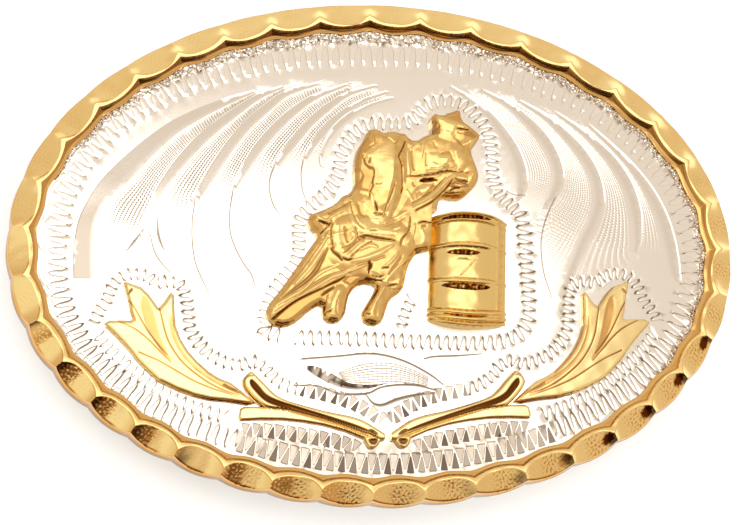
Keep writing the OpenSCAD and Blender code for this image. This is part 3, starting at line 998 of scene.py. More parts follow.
    def trail(self, marks: Groove, rows: Rows, cut: Sequence[float]) -> None:
        """Cuts a row of loops along a middle line.

        Args:
            marks: Where the cuts are collected.
            rows: The line, with columns x, y and how heavily it is cut.
            cut: Length of one loop, half the height of the loops, and the half width, depth and darkness of
                their strokes, all where the line's third column is 1.
        """
        table = smooth_rows(rows, 8)
        force = table[:, 2:3]
        pitch, reach, width, depth, dark = cut
        root = np.sqrt(force)
        strokes = [width * root, depth * np.minimum(force, 1.3), np.minimum(dark * root, 1.0)]
        row = np.hstack([table[:, :2], reach * force**0.12, *strokes])
        self.wriggle(marks, row, pitch * force[:, 0] ** 0.2, self.trail_lean, 0.0)

    def flutes(self) -> list[tuple[Array, Fan]]:
        """Deep edges of all flutes, each with its fan."""
        fans = ((self.left_flutes, Fan.LEFT), (self.right_flutes, Fan.RIGHT))
        return [(smooth_rows(rows, 5), fan) for flutes, fan in fans for rows in flutes]

    def flute_lines(self, marks: Groove) -> None:
        """Adds the lines that the mesh follows along the flutes."""
        for edge, fan in self.flutes():
            out = side_of(edge) * fan.side
            facet = -fan.facet * out
            band = edge[:, 2:3] * out
            for line in (facet - self.guard * out, facet, 0 * out, 0.6 * edge[:, 2:3] * out, band):
                marks.add_line(edge[:, :2] + line)
            ahead = (edge[-1, :2] - edge[-2, :2]) / np.hypot(*(edge[-1, :2] - edge[-2, :2]))
            across = np.array([[0.0], [0.5], [1.0]]) * edge[-1, 2] * out[-1]
            for step in (0.0, 0.08):
                marks.add_line(edge[-1, :2] + step * ahead + across)
        for band, after, _ in self.liner_zones():
            for share in (0.2, 0.5, 0.8):
                places = np.linspace(0, 1, 30)
                ends = [
                    np.stack([np.interp(places, np.linspace(0, 1, len(c)), c[:, k]) for k in (0, 1)], 1)
                    for c in (band, after)
                ]
                marks.add_points(ends[0] + share * (ends[1] - ends[0]))

    def flute_depth(self, points: Array) -> tuple[Array, Array]:
        """Depth and tone of the flutes: bands that fall to a deep edge, and facets that climb out of it;
        the bands' tone is painted shade.
        """
        depth, tone = np.zeros(len(points)), np.zeros(len(points))
        for edge, fan in self.flutes():
            dist, place, side = nearest(points, edge[:, :2])
            width = np.interp(place, run_of(edge), edge[:, 2])
            last = edge[-1, :2] - edge[-2, :2]
            short = (points - edge[-1, :2]) @ last <= 1e-6
            band = short & (side == fan.side) & (dist <= width * 1.001)
            facet = short & (side != fan.side) & (dist <= fan.facet)
            deep = np.where(band, width - dist, 0) + np.where(facet, width * (1 - dist / fan.facet), 0)
            depth = np.maximum(depth, self.flute_slope * np.maximum(deep, 0))
            fade = np.clip((width - dist) / np.maximum(0.4 * width, 1e-6), 0, 1)
            end_shade = self.end_shade_tone * smooth_step(9.0, 4.0, points[:, 1]) * (edge[-1, 0] < self.shaded_end_left)
            tone = np.maximum(tone, np.where(band, np.maximum(fan.dull, end_shade) * fade, 0))
        return depth, tone

    def liner_zones(self) -> list[tuple[Array, Array, Fan]]:
        """Pairs of lines with liner cuts between them, each with its fan."""
        flutes = self.flutes()
        pairs = []
        for (edge, fan), (after, after_fan) in zip(flutes, flutes[1:]):
            if fan is after_fan:
                pairs.append((edge[:, :2] + side_of(edge) * fan.side * edge[:, 2:3], after[:, :2], fan))
        return pairs

    def liner(self, points: Array) -> Array:
        """Places points in the zones of liner cuts.

        Args:
            points: The points, as rows of x and y.

        Returns:
            For each point, lines across, marks along and the strength of the cuts.
        """
        made = np.zeros((len(points), 3))
        for first, second, fan in self.liner_zones():
            line = np.vstack([first, second])
            boxed = (points > line.min(0) - 0.1) & (points < line.max(0) + 0.1)
            near = np.flatnonzero(np.all(boxed, axis=1))
            away, place, side = nearest(points[near], first)
            other, other_place, other_side = nearest(points[near], second)
            share = away / np.maximum(away + other, 1e-6)
            ends = np.clip(place / run_of(first)[-1], 0, 1), np.clip(other_place / run_of(second)[-1], 0, 1)
            along = (ends[0] + ends[1]) / 2
            inside = ((side == fan.side) | (away < 1e-3)) & ((other_side != fan.side) | (other < 1e-3))
            strength = fan.liner * smooth_step(0.0, 0.3, share) * smooth_step(0.0, 0.12, 1 - share)
            strength *= smooth_step(0.0, 0.12, along) * smooth_step(0.0, 0.2, 0.99 - along) * inside
            gap = nearest(first[len(first) // 2 :][:1], second)[0][0]
            value = np.column_stack([share * max(2, round(gap / self.liner_pitch)), place / 0.36, strength])
            better = inside & ((strength > made[near, 2]) | (made[near, 2] == 0))
            made[near[better]] = value[better]
        return made

    def engrave(self) -> Groove:
        """Lays out all the cuts and the lines that the mesh follows."""
        marks = Groove()
        angle = np.linspace(0, 2 * math.pi, 361)
        outer_in, inner_in, *sizes = around(self.border, angle)
        middle = self.oval.inset(angle, (outer_in + inner_in) / 2)
        row = np.column_stack([middle, (inner_in - outer_in) / 2, *sizes])
        (pitch,) = around(self.border_pitch, angle)
        ends = self.wriggle(marks, row, pitch, self.border_lean, -1.0)
        self.tip_marks(marks, ends)
        self.trail(marks, self.figure_trail, self.figure_cut)
        self.trail(marks, self.inner_trail, self.inner_cut)
        pairs = (
            (self.spray_trail, self.spray_cut),
            (self.lower_trail, self.lower_cut),
            (self.middle_trail, self.middle_cut),
        )
        for side in (1, -1):
            for rows, cut in pairs:
                self.trail(marks, [(side * x, y, force) for x, y, force in rows][::side], cut)
        for rows in self.hair_lines:
            path = smooth_rows(rows, 4)
            dark = self.lens_dark if path[0, 1] < self.lens_top else self.hair_dark
            width = self.hair_width * path[:, 2:3]
            marks.cut(path[:, :2], width * (1.0, self.hair_slope, 0.0) + (0.0, 0.0, dark))
            for side in (-1, 1):
                marks.add_line(path[:, :2] + side * side_of(path) * (width + self.guard))
        self.leaf(marks)
        self.edge_lines(marks)
        return marks

    def leaf(self, marks: Groove) -> None:
        """Cuts the dark leaf below the figure and the hatching beside it."""
        leaf = smooth_rows(self.leaf_cut, 5)
        width = leaf[:, 2:3]
        dark = 0.95 + 0.3 * ripple(leaf[:, 0], leaf[:, 1], 0.8, 7)[:, None]
        sizes = np.hstack([width, self.leaf_slope * width, np.clip(dark, 0.7, 1)])
        marks.cut(leaf[:, :2], sizes, broad=True)
        hatched = (self.leaf_hatch_upper, self.leaf_hatch_lower)
        upper, lower = (even_points(smooth_rows(rows, 6), 0.6) for rows in hatched)
        shares, others = (run_of(line) / run_of(line)[-1] for line in (upper, lower))
        lower = np.stack([np.interp(shares, others, column) for column in lower.T], 1)
        for share in np.linspace(0.04, 0.96, self.hatch_lines):
            path = upper + share * (lower - upper)
            marks.cut(path, np.broadcast_to(self.hatch_along, (len(path), 3)))
        for first, last in list(zip(upper, lower))[3:]:
            path = first + np.linspace(0, 1, 4)[:, None] * (last - first)
            marks.cut(path, np.broadcast_to(self.hatch_across, (len(path), 3)))

    def tip_marks(self, marks: Groove, ends: tuple[Array, Array]) -> None:
        """Punches marks at the tips of the border's loops: bright pits at the top, dark dots beside."""
        for first, last, which, length, half, depth, dark in self.tips:
            for x, y in ends[which]:
                turn = math.atan2(y / self.oval.half_width, x / self.oval.half_len)
                degrees = (math.degrees(turn) - first) % 360 + first
                if degrees > last:
                    continue
                out = self.oval.outward(np.array(turn)) * (1 if which else -1)
                path = np.array([x, y]) + np.array([[0.0], [0.5], [1.0]]) * length * out
                size = np.array([[1.0], [0.85], [0.4]]) * (half, depth, 0)
                marks.cut(path, size + (0, 0, dark))

    def edge_lines(self, marks: Groove) -> None:
        """Cuts the pair of wavering lines beside the rim at the left."""
        for gap, force, seed in ((0.22, 0.5, 1), (0.62, 0.4, 2)):
            angle = np.radians(np.linspace(150, 245, 160))
            waver = 0.06 * ripple(angle * 30, angle * 0, 1.5, seed)
            path = self.oval.inset(angle, self.rim.inner_edge(angle) + gap + waver)
            fade = np.sin(np.linspace(0.1, math.pi - 0.1, len(path)))
            marks.cut(path, np.column_stack([0.05 + 0.04 * fade, 0.02 * fade, force * fade]))

    def build(self, finish: bpy.types.Material) -> bpy.types.Object:
        """Meshes the plate as one closed solid.

        Args:
            finish: Its material.

        Returns:
            The object.
        """
        angle = np.linspace(0, 2 * math.pi, 240, endpoint=False)
        flat = Oval(self.oval.half_len - self.inset, self.oval.half_width - self.inset, self.oval.top)
        marks = self.engrave()
        rim = marks.add_line(flat.inset(angle, np.zeros(len(angle))), closed=True)
        self.flute_lines(marks)
        spots, tops, darkening = self.stipple()
        first_dot = marks.count
        marks.add_points(spots)
        marks.add_points(self.lattice(flat, self.front_grid))
        vectors = [Vector(p) for p in np.vstack(marks.points)]
        lines = np.vstack(marks.edges).tolist()
        out_points, _, out_faces, origins, _, _ = delaunay_2d_cdt(vectors, lines, [], 0, NEAR, True)
        flat_points = np.array([p[:] for p in out_points])
        faces = np.array(out_faces)
        cut_depth, cut_tone = marks.at(flat_points)
        flute_depth, tone = self.flute_depth(flat_points)
        tone = np.maximum(tone, self.ground_shade(flat_points))
        depth = cut_depth + flute_depth
        bump = np.zeros(len(flat_points))
        for number, origin in enumerate(origins):
            if origin and first_dot <= origin[0] < first_dot + len(tops):
                bump[number] = tops[origin[0] - first_dot]
                tone[number] = max(tone[number], darkening[origin[0] - first_dot])
        z = self.oval.field_z(flat_points[:, 0]) - depth + np.where(cut_depth < 1e-3, bump, 0)
        top = np.column_stack([flat_points, z])
        faces = face_up(flat_points, faces)
        place = {origin: number for number, group in enumerate(origins) for origin in group}
        loop = np.array([place[n] for n in rim])
        back_points, back_faces = self.back(flat, angle)
        start = len(top)
        low = np.arange(len(rim)) + start
        after, low_after = np.roll(loop, -1), np.roll(low, -1)
        walls = np.vstack([np.stack([loop, low, low_after], 1), np.stack([loop, low_after, after], 1)])
        every = np.vstack([faces, walls, back_faces[:, ::-1] + start])
        tone_and_shade = np.concatenate([np.clip(np.maximum(cut_tone, tone), 0, 1), np.zeros(len(back_points))])
        liner = np.vstack([self.liner(flat_points), np.zeros((len(back_points), 3))])
        points = np.vstack([top, back_points])
        made = make_object("engraved_field", points, every, finish, self.crease_deg, tone_and_shade)
        made.data.attributes.new("liner", "FLOAT_VECTOR", "POINT").data.foreach_set(
            "vector", liner.astype(np.float32).ravel()
        )
        return made

    def lattice(self, flat: Oval, grid: Sequence[float]) -> Array:
        """Spreads points evenly over the plate.

        Args:
            flat: Its outline.
            grid: Reach along X and Y, gaps along X and Y, shift of every other row, and margin at the edge.

        Returns:
            The points' places.
        """
        far, high, gap_x, gap_y, shift, margin = grid
        x, y = np.meshgrid(np.arange(-far, far + 0.1, gap_x), np.arange(-high, high + 0.1, gap_y))
        x = x + (np.arange(x.shape[0]) % 2)[:, None] * shift
        points = np.stack([x.ravel(), y.ravel()], 1)
        return points[flat.holds(points, margin)]

    def ground_shade(self, points: Array) -> Array:
        """Painted shade on the ground between the filled rows at the bottom, uneven in speckles."""
        x, y = points.T
        angle = np.degrees(np.arctan2(y / self.oval.half_width, x / self.oval.half_len)) % 360
        inward = (1 - np.hypot(x / self.oval.half_len, y / self.oval.half_width)) * self.oval.half_width
        place = smooth_step(238, 246, angle) * smooth_step(302, 294, angle)
        band = smooth_step(3.3, 4.0, inward) * smooth_step(9.0, 8.0, inward)
        return place * band * np.clip(0.42 + 0.15 * ripple(x, y, 0.6, self.seed), 0, 1)

    def stipple(self) -> tuple[Array, Array, Array]:
        """Scatters the punched dots of the matted edge beside the rim.

        Returns:
            The places of its points, and the height and the tone of each.
        """
        draw = np.random.default_rng(self.seed)
        count = 9000
        angle = np.radians(draw.uniform(-35, 160, count))
        band = np.interp(np.degrees(angle), [-35, 0, 45, 90, 135, 160], [0.3, 0.6, 0.8, 1.3, 0.9, 0.2])
        share = draw.uniform(0, 1, count)
        inward = self.rim.inner_edge(angle) - 0.15 + share * (band + 0.15)
        tone = np.where(draw.uniform(0, 1, count) < 0.45, draw.uniform(0.3, 0.85, count), 0.0)
        return self.oval.inset(angle, inward), draw.normal(0, 0.03, count), tone

    def back(self, flat: Oval, angle: Array) -> tuple[Array, Array]:
        """Meshes the plain back of the plate.

        Args:
            flat: Its outline.
            angle: Angles of the points round its edge.

        Returns:
            Its points and triangles, the edge's points first.
        """
        edge = flat.inset(angle, np.zeros(len(angle)))
        points = np.vstack([edge, self.lattice(flat, self.back_grid)])
        vectors = [Vector(p) for p in points]
        _, _, out_faces, origins, _, _ = delaunay_2d_cdt(vectors, [], [], 0, NEAR, True)
        order = np.array([group[0] for group in origins])
        faces = face_up(points, order[np.array(out_faces)])
        return np.column_stack([points, self.oval.field_z(points[:, 0]) - self.thickness]), faces


# Scalloped rim


@dataclass
class ScallopedRim:
    """The gold rim, hollowed by a row of gouge cuts."""

    oval: Oval
    scallops: int = 38
    width: float = 3.6
    sway: float = 0.17
    crest: float = 1.4
    edge: float = 0.8
    crest_in: float = 1.1
    fall: float = 0.05
    # Where the crest lies at the middle of a scallop, and how much farther out at a cusp
    wall_in: float = 3.0
    cusp_back: float = 0.72
    lobe: float = 0.36
    # Columns: angle round the oval in degrees, width of the land left outside the hollows
    lips = ((0, 0.1), (30, 0.02), (150, 0.02), (190, 0.22), (330, 0.22), (360, 0.1))
    # Height of the wall's foot where the wall is dark, and how much higher it is where it is light
    foot: float = 0.2
    foot_rise: float = 0.45
    seat_in: float = 1.5
    thickness: float = 1.9
    gap: float = 0.05
    # How far the outer wall is set back at its foot, over what height, and the tones of its painted shade
    # from the foot up
    setback: float = 0.1
    setback_height: float = 1.45
    outer_shade: tuple[float, float, float] = (1.0, 0.8, 0.45)
    # Number of sections in a scallop, and of points across its hollow and down the inner wall
    steps: int = 44
    cup_rows: int = 26
    wall_rows: int = 18
    seed: int = 5
    first_cusp: float = 1.96
    # Columns: waves round the rim, cosine part, sine part of the cusps' drift
    drift = ((1, -0.89, 0.79), (2, -0.2, -0.27), (3, -0.35, -0.34))
    floor_low: float = -0.1
    floor_slope: float = 0.515
    floor_side: float = 0.74
    # How far the hollows' slant and depth vary from one to the next
    lean_spread: float = 0.1
    depth_spread: float = 0.05
    # Width of the rounding where a hollow meets the ridge
    sharp: float = 0.03
    # Middle and spread of the hammered spot along a scallop, and its height
    struck_at: tuple[float, float] = (0.1, 0.42)
    struck_height: float = 0.02
    crease_deg: float = 40.0
    # Columns: angle round the oval in degrees, how far the hollows run together at the outer edge
    merging = ((0, 0.1), (30, 0.6), (150, 0.6), (180, 0.2), (200, 0), (340, 0), (360, 0.1))
    # Columns: how far down the inner wall as a share, tone of its painted shade where the wall is dark and
    # where it is light
    wall_tones = (
        (0, 0.3, 0.1), (0.05, 0.85, 0.3), (0.3, 0.95, 0.38), (0.36, 0.4, 0.3), (0.6, 0.25, 0.25),
        (0.68, 0.85, 0.3), (0.76, 0.3, 0.3), (0.9, 0.35, 0.3), (1, 0.6, 0.6),
    )
    # Columns: angle round the oval in degrees, how steep the inner wall is and how dark its painted shade
    # is
    wall_shade = (
        (0, 0.3), (30, 0.8), (90, 1), (140, 0.8), (165, 0.3), (200, 0.1), (325, 0.1), (345, 0.2),
        (360, 0.3),
    )
    # Columns: angle round the oval in degrees, strength of the painted shade at a scallop's first and its
    # last end
    darkening = (
        (0, 0, 0), (196, 0, 0), (202, 0.95, 0), (234, 0.9, 0), (236, 0.1, 0), (242, 0.1, 0), (244, 0.9, 0),
        (258, 0.7, 0), (266, 0.2, 0), (296, 0.1, 0.1), (302, 0, 1), (338, 0, 1), (345, 0, 0), (360, 0, 0),
    )
    # Columns: angle round the oval in degrees, how coarsely its hollows are hammered
    hammer = (
        (0, 0.6), (20, 0.25), (60, 0.1), (150, 0.15), (205, 0.1), (240, 0.15), (250, 0.6), (270, 1),
        (330, 0.8), (360, 0.6),
    )

    def cusp_angles(self) -> Array:
        """Angles of the cusps between the scallops, with the first one again at the end."""
        angle = np.linspace(0, 2 * math.pi, 3601)
        x, y = self.oval.half_len * np.cos(angle), self.oval.half_width * np.sin(angle)
        run = np.concatenate([[0], np.cumsum(np.hypot(np.diff(x), np.diff(y)))])
        number = np.arange(self.scallops + 1)
        turn = 2 * math.pi * number / self.scallops
        place = number * run[-1] / self.scallops + self.first_cusp
        for waves, cosine, sine in self.drift:
            place += cosine * np.cos(waves * turn) + sine * np.sin(waves * turn)
        twice = np.append(run, run[1:] + run[-1])
        return np.interp(place, twice, np.append(angle, angle[1:] + 2 * math.pi))

    def inner_edge(self, angle: Array) -> Array:
        """How far inward the rim's wavy inner edge lies at these angles."""
        cusps = self.cusp_angles()
        turn = (angle - cusps[0]) % (2 * math.pi) + cusps[0]
        u = 2 * (np.interp(turn, cusps, np.arange(self.scallops + 1)) % 1) - 1
        return self.width + self.sway * np.cos(math.pi * u)

    def uncut(self, inward: Array, width: Array, crest_at: Array, foot: Array) -> Array:
        """Height of the rim above the field before the scallops are cut: a ridge and a hollow wall.

        Args:
            inward: Distance inward from the outer edge.
            width: Where the inner edge lies.
            crest_at: Where the ridge ends and the wall begins.
            foot: Height of the wall's foot.

        Returns:
            The height at each place.
        """
        curve = (self.crest - self.edge) / self.crest_in**2
        steep = np.where(inward < self.crest_in, curve, self.fall)
        land = self.crest - steep * (self.crest_in - inward) ** 2
        share = np.clip((inward - crest_at) / (width - crest_at), 0, 1)
        top = self.crest - self.fall * (crest_at - self.crest_in) ** 2
        curve_in = 0.72 * (1 - share) ** 3.4 + 0.28 * (1 - share)
        return np.where(inward <= crest_at, land, foot + (top - foot) * curve_in)

    def shade_and_speckle(self, angle: Array, u: Array, inward: Array, depth: Array, noise: Array) -> Array:
        """Tone of the painted shade at the scallops' ends and of the dark painted shade lines along their
        edges.

        Args:
            angle: Angle round the oval in degrees.
            u: Place along the scallop, from -1 to 1.
            inward: Distance inward from the hollow's outer end.
            depth: How far the hollow's floor lies below the ridge.
            noise: A speckle of about unit height.

        Returns:
            The tone at each place.
        """
        first, last = around(self.darkening, np.radians(angle))
        inside = smooth_step(0.0, 0.05, depth)
        tone = first * smooth_step(-0.08, -0.16, u + 0.08 * noise) * np.clip(1.05 + 0.45 * noise, 0, 1)
        round_end = np.hypot((u - 0.68) / 0.3, (inward - 0.95) / 0.65)
        tone = np.maximum(tone, last * smooth_step(1.1, 0.8, round_end + 0.1 * noise))
        low = smooth_step(185, 215, angle) * smooth_step(350, 320, angle)
        side = smooth_step(120, 150, angle) * smooth_step(285, 265, angle)
        tone = np.maximum(tone, 0.25 * side * smooth_step(0.4, 0.95, u))
        line = smooth_step(0.16, 0.05, depth)
        tone = np.maximum(tone, 0.75 * side * line * smooth_step(0.35, 0.6, u))
        edge = smooth_step(0.3, 0.1, inward) * smooth_step(0.5, 0.1, u)
        tone = np.maximum(tone, 0.95 * low * edge * (angle < 300))
        return tone * inside

    def sections(self) -> tuple[Array, Array, Array]:
        """Number of the scallop, place along it from -1 to 1 and angle round the oval of each section."""
        cusps = self.cusp_angles()
        number, step = np.divmod(np.arange(self.scallops * self.steps), self.steps)
        u = 2 * step / self.steps - 1
        return number, u, cusps[number] + (u + 1) / 2 * (cusps[number + 1] - cusps[number])

    def wall_tone(self, share: Array, u: Array, force: Array) -> Array:
        """Tone of the inner wall, painted shade in bands that sag at a scallop's ends.

        Args:
            share: How far down the wall each place lies, from 0 to 1, below 0 outside it.
            u: Place along the scallop, from -1 to 1.
            force: How dark the wall's painted shade is.

        Returns:
            The tone at each place.
        """
        knee = 0.35 + 0.35 * u * u
        share = np.where(share < knee, share * 0.35 / knee, 0.35 + (share - knee) * 0.65 / (1 - knee))
        places, *tones = np.array(self.wall_tones).T
        dark, light = (np.interp(share, places, tone) for tone in tones)
        return np.where(share > 0, light + force * (dark - light), 0)

    def build(self, finish: bpy.types.Material) -> bpy.types.Object:
        """Meshes the rim as one closed ring.

        Args:
            finish: Its material.

        Returns:
            The object.
        """
        draw = np.random.default_rng(self.seed)
        number, u, angle = self.sections()
        lean = draw.normal(0, self.lean_spread, self.scallops)[number]
        deep = draw.normal(0, self.depth_spread, self.scallops)[number]
        hollow = self.floor_low + self.floor_side * np.abs(u) ** 3 + (lean * u + deep) * (1 - u * u)
        (merge,) = around(self.merging, angle)
        outer = self.lobe * u * u * (1 - merge)
        width = self.width + self.sway * np.cos(math.pi * u)
        crest_at = self.wall_in - self.cusp_back * u * u
        start = outer + around(self.lips, angle)[0]
        cup = start[:, None] + np.linspace(0, 1, self.cup_rows) * (crest_at - start)[:, None]
        wall = crest_at[:, None] + np.linspace(0, 1, self.wall_rows)[1:] * (width - crest_at)[:, None]
        inward = np.hstack([cup, wall])
        force = around(self.wall_shade, angle)[0][:, None]
        floor = hollow[:, None] + self.floor_slope * inward
        lowered = merge * self.floor_side * np.abs(u) ** 3
        floor -= lowered[:, None] * smooth_step(1.9, 0.3, inward - start[:, None])
        foot = self.foot + self.foot_rise * (1 - force)
        ridge = self.uncut(inward, width[:, None], crest_at[:, None], foot)
        overlap = np.maximum(self.sharp - np.abs(floor - ridge), 0)
        height = np.minimum(floor, ridge) - overlap**2 / (4 * self.sharp)
        cut = smooth_step(-0.02, 0.1, ridge - floor)
        flat = self.oval.inset(np.broadcast_to(angle[:, None], inward.shape), inward)
        rough = around(self.hammer, angle)[0][:, None]
        middle, spread = self.struck_at
        spot = np.exp(-(((u[:, None] - middle) / spread) ** 2))
        height += 0.010 * ripple(flat[..., 0], flat[..., 1], 2.2, self.seed)
        noise = ripple(flat[..., 0], flat[..., 1], 0.36, self.seed + 1, 40)
        struck = cut * rough * spot
        height += struck * self.struck_height * noise
        degrees = np.degrees(angle)[:, None] % 360
        # Painted shade at the hollows' ends and along their edges, with the dark speckle of the hammered
        # spots
        shade_and_speckle = self.shade_and_speckle(degrees, u[:, None], inward - start[:, None], ridge - floor, noise)
        shade_and_speckle = np.maximum(shade_and_speckle, struck * np.clip(0.8 * noise - 0.1, 0, 0.9))
        height[:, -1] = self.gap
        low = np.full((len(u), 1), -self.thickness)
        under = np.full((len(u), 1), self.gap)
        seat = np.full((len(u), 2), self.seat_in)
        inward = np.hstack([outer[:, None] + self.setback, outer[:, None], inward, seat])
        height = np.hstack([low, low + self.setback_height, height, under, low])
        flat = self.oval.inset(np.broadcast_to(angle[:, None], inward.shape), inward)
        share = (inward - crest_at[:, None]) / (width - crest_at)[:, None]
        tone = self.wall_tone(share, u[:, None], force)
        tone[:, 2:-2] = np.maximum(tone[:, 2:-2], shade_and_speckle)
        # Painted shade on the outer wall, darkest at its foot
        tone[:, :3] = self.outer_shade
        z = self.oval.field_z(flat[..., 0]) + height
        points = np.concatenate([flat, z[..., None]], 2).reshape(-1, 3)
        faces = grid_faces(*height.shape, closed=True)[:, ::-1]
        return make_object("rim_of_scallops", points, faces, finish, self.crease_deg, tone.ravel())


# Cast figure


@dataclass
class HorseAndRider:
    """The cast relief of a horse turning and its rider."""

    oval: Oval
    low: tuple[float, float] = (-14.5, -10.5)
    high: tuple[float, float] = (13.8, 18.0)

    # The figure's outline, from the left ear round by the rider, the barrel, the legs and the mane
    outline = (
        (-0.96, 14.33), (-0.78, 14.74), (-0.16, 14.9), (0.35, 14.8), (0.95, 14.4), (1.58, 14.51),
        (2.2, 14.61), (2.92, 14.46), (3.63, 14.35), (4.02, 13.91), (4.47, 13.55), (5.14, 13.51),
        (5.78, 13.92), (6.41, 14.21), (7.03, 14.4), (7.13, 15.32), (7.02, 16.04), (7.05, 16.5),
        (7.46, 16.9), (7.96, 16.71), (8.58, 16.67), (9, 16.96), (9.63, 17.11), (10.2, 17.37), (10.58, 17.2),
        (10.68, 16.48), (10.91, 15.86), (11.51, 15.46), (12.2, 14.95), (12.95, 14.26), (12.72, 13.72),
        (12.23, 13), (11.74, 12.38), (11.76, 11.66), (12.03, 10.84), (12.35, 9.92), (12.49, 9.21),
        (12.34, 8.49), (11.95, 7.87), (11.35, 7.25), (10.71, 6.68), (9.97, 6.36), (9.15, 6.42),
        (8.33, 6.55), (7.81, 6.45), (7.43, 5.98), (7.25, 5.37), (7.2, 4.9), (7.2, 4), (7, 1), (6.04, 0.05),
        (4.58, -0.28), (4.12, -0.72), (3.53, -1.6), (3.15, -2.6), (2.94, -3.59), (2.68, -4.48),
        (2.16, -5.14), (1.36, -5.64), (0.83, -6.25), (0.46, -7.24), (0.15, -8.12), (-0.21, -8.73),
        (-0.89, -9.06), (-1.66, -8.95), (-2.26, -8.57), (-2.53, -7.9), (-2.37, -7.35), (-1.9, -6.63),
        (-1.36, -5.8), (-0.89, -5.03), (-0.67, -4.42), (-1.01, -4.09), (-1.9, -3.98), (-2.79, -4.2),
        (-3.48, -4.75), (-3.95, -5.47), (-4.24, -6.47), (-4.43, -7.46), (-4.79, -8.12), (-5.25, -8.6),
        (-5.98, -8.77), (-6.69, -8.59), (-7.11, -8.07), (-7.25, -7.41), (-7.14, -6.8), (-7.55, -6.6),
        (-8.23, -6.91), (-9.03, -7.46), (-9.84, -8.18), (-10.52, -8.68), (-11.31, -9.06), (-12.2, -9.23),
        (-13.09, -9.01), (-13.73, -8.4), (-13.97, -7.57), (-13.76, -6.74), (-13.23, -5.97), (-12.53, -5.14),
        (-11.83, -4.26), (-11.07, -3.26), (-10.3, -2.21), (-9.54, -1.16), (-8.77, -0.11), (-8.06, 0.88),
        (-7.48, 1.6), (-7.73, 2.26), (-8.26, 2.76), (-8.57, 3.37), (-8.48, 4.03), (-8.08, 4.45),
        (-7.18, 4.75), (-6.39, 5.08), (-5.6, 5.47), (-4.91, 5.97), (-4.33, 6.63), (-3.6, 6.92),
        (-2.96, 7.44), (-2.68, 8.06), (-2.64, 8.78), (-2.66, 9.6), (-2.59, 10.42), (-2.46, 11.24),
        (-2.27, 11.96), (-1.99, 12.68), (-1.57, 13.3), (-1.18, 13.82),
    )
    height: float = 1.5
    shoulder: float = 0.85
    # Broad swellings of the flat ground: x, y, radius, rise
    swells = (
        ((1.4, 12.8, 2.2, 0.3), (0.8, 10, 2.6, 0.3), (0.3, 7, 2.4, 0.3), (0, 4.6, 1.6, 0.25)),
        ((7.6, 11.4, 3.4, 0.2), (8.4, 9.4, 3.2, 0.2)),
        ((11, 11.4, 1.4, 0.2), (11.3, 9.4, 1.6, 0.4), (10.4, 7.7, 1.6, 0.45)),
        ((8.6, 15.3, 1.8, 0.2), (10.4, 14.6, 1.6, 0.2)), ((-3.4, 0.6, 3.6, 0.4), (0.2, 0, 4, 0.35)),
        ((-2.6, 4.6, 2.2, 0.15), (-6.6, 3.6, 2, 0.35)), ((6, 5.6, 2.4, 0.2), (4.2, 2.6, 2.6, 0.2)),
        ((-5.6, -1.6, 2.4, 0.1), (-9.2, -4.8, 2, 0.05), (-12.4, -7.8, 1.6, 0)),
    )
    # Roof-like swellings: x, y, radius, rise
    ridges = (
        ((2, 13, 1.6, 0.15), (1.9, 11, 1.9, 0.4), (1.7, 9, 1.8, 0.45), (1.3, 7.6, 1.5, 0.4),
         (0.7, 5.6, 1.1, 0.3)),
        ((11.5, 11.9, 0.9, 0.1), (11.7, 9.6, 1, 0.2), (11.2, 8, 0.8, 0.1)),
        ((-5.2, -5, 0.8, 0.2), (-5.8, -6.6, 0.8, 0.25), (-6, -7.8, 0.7, 0.1)),
        ((0.2, -4.6, 0.8, 0.2), (-0.9, -6.2, 0.8, 0.25), (-1.4, -7.8, 0.7, 0.1)),
    )
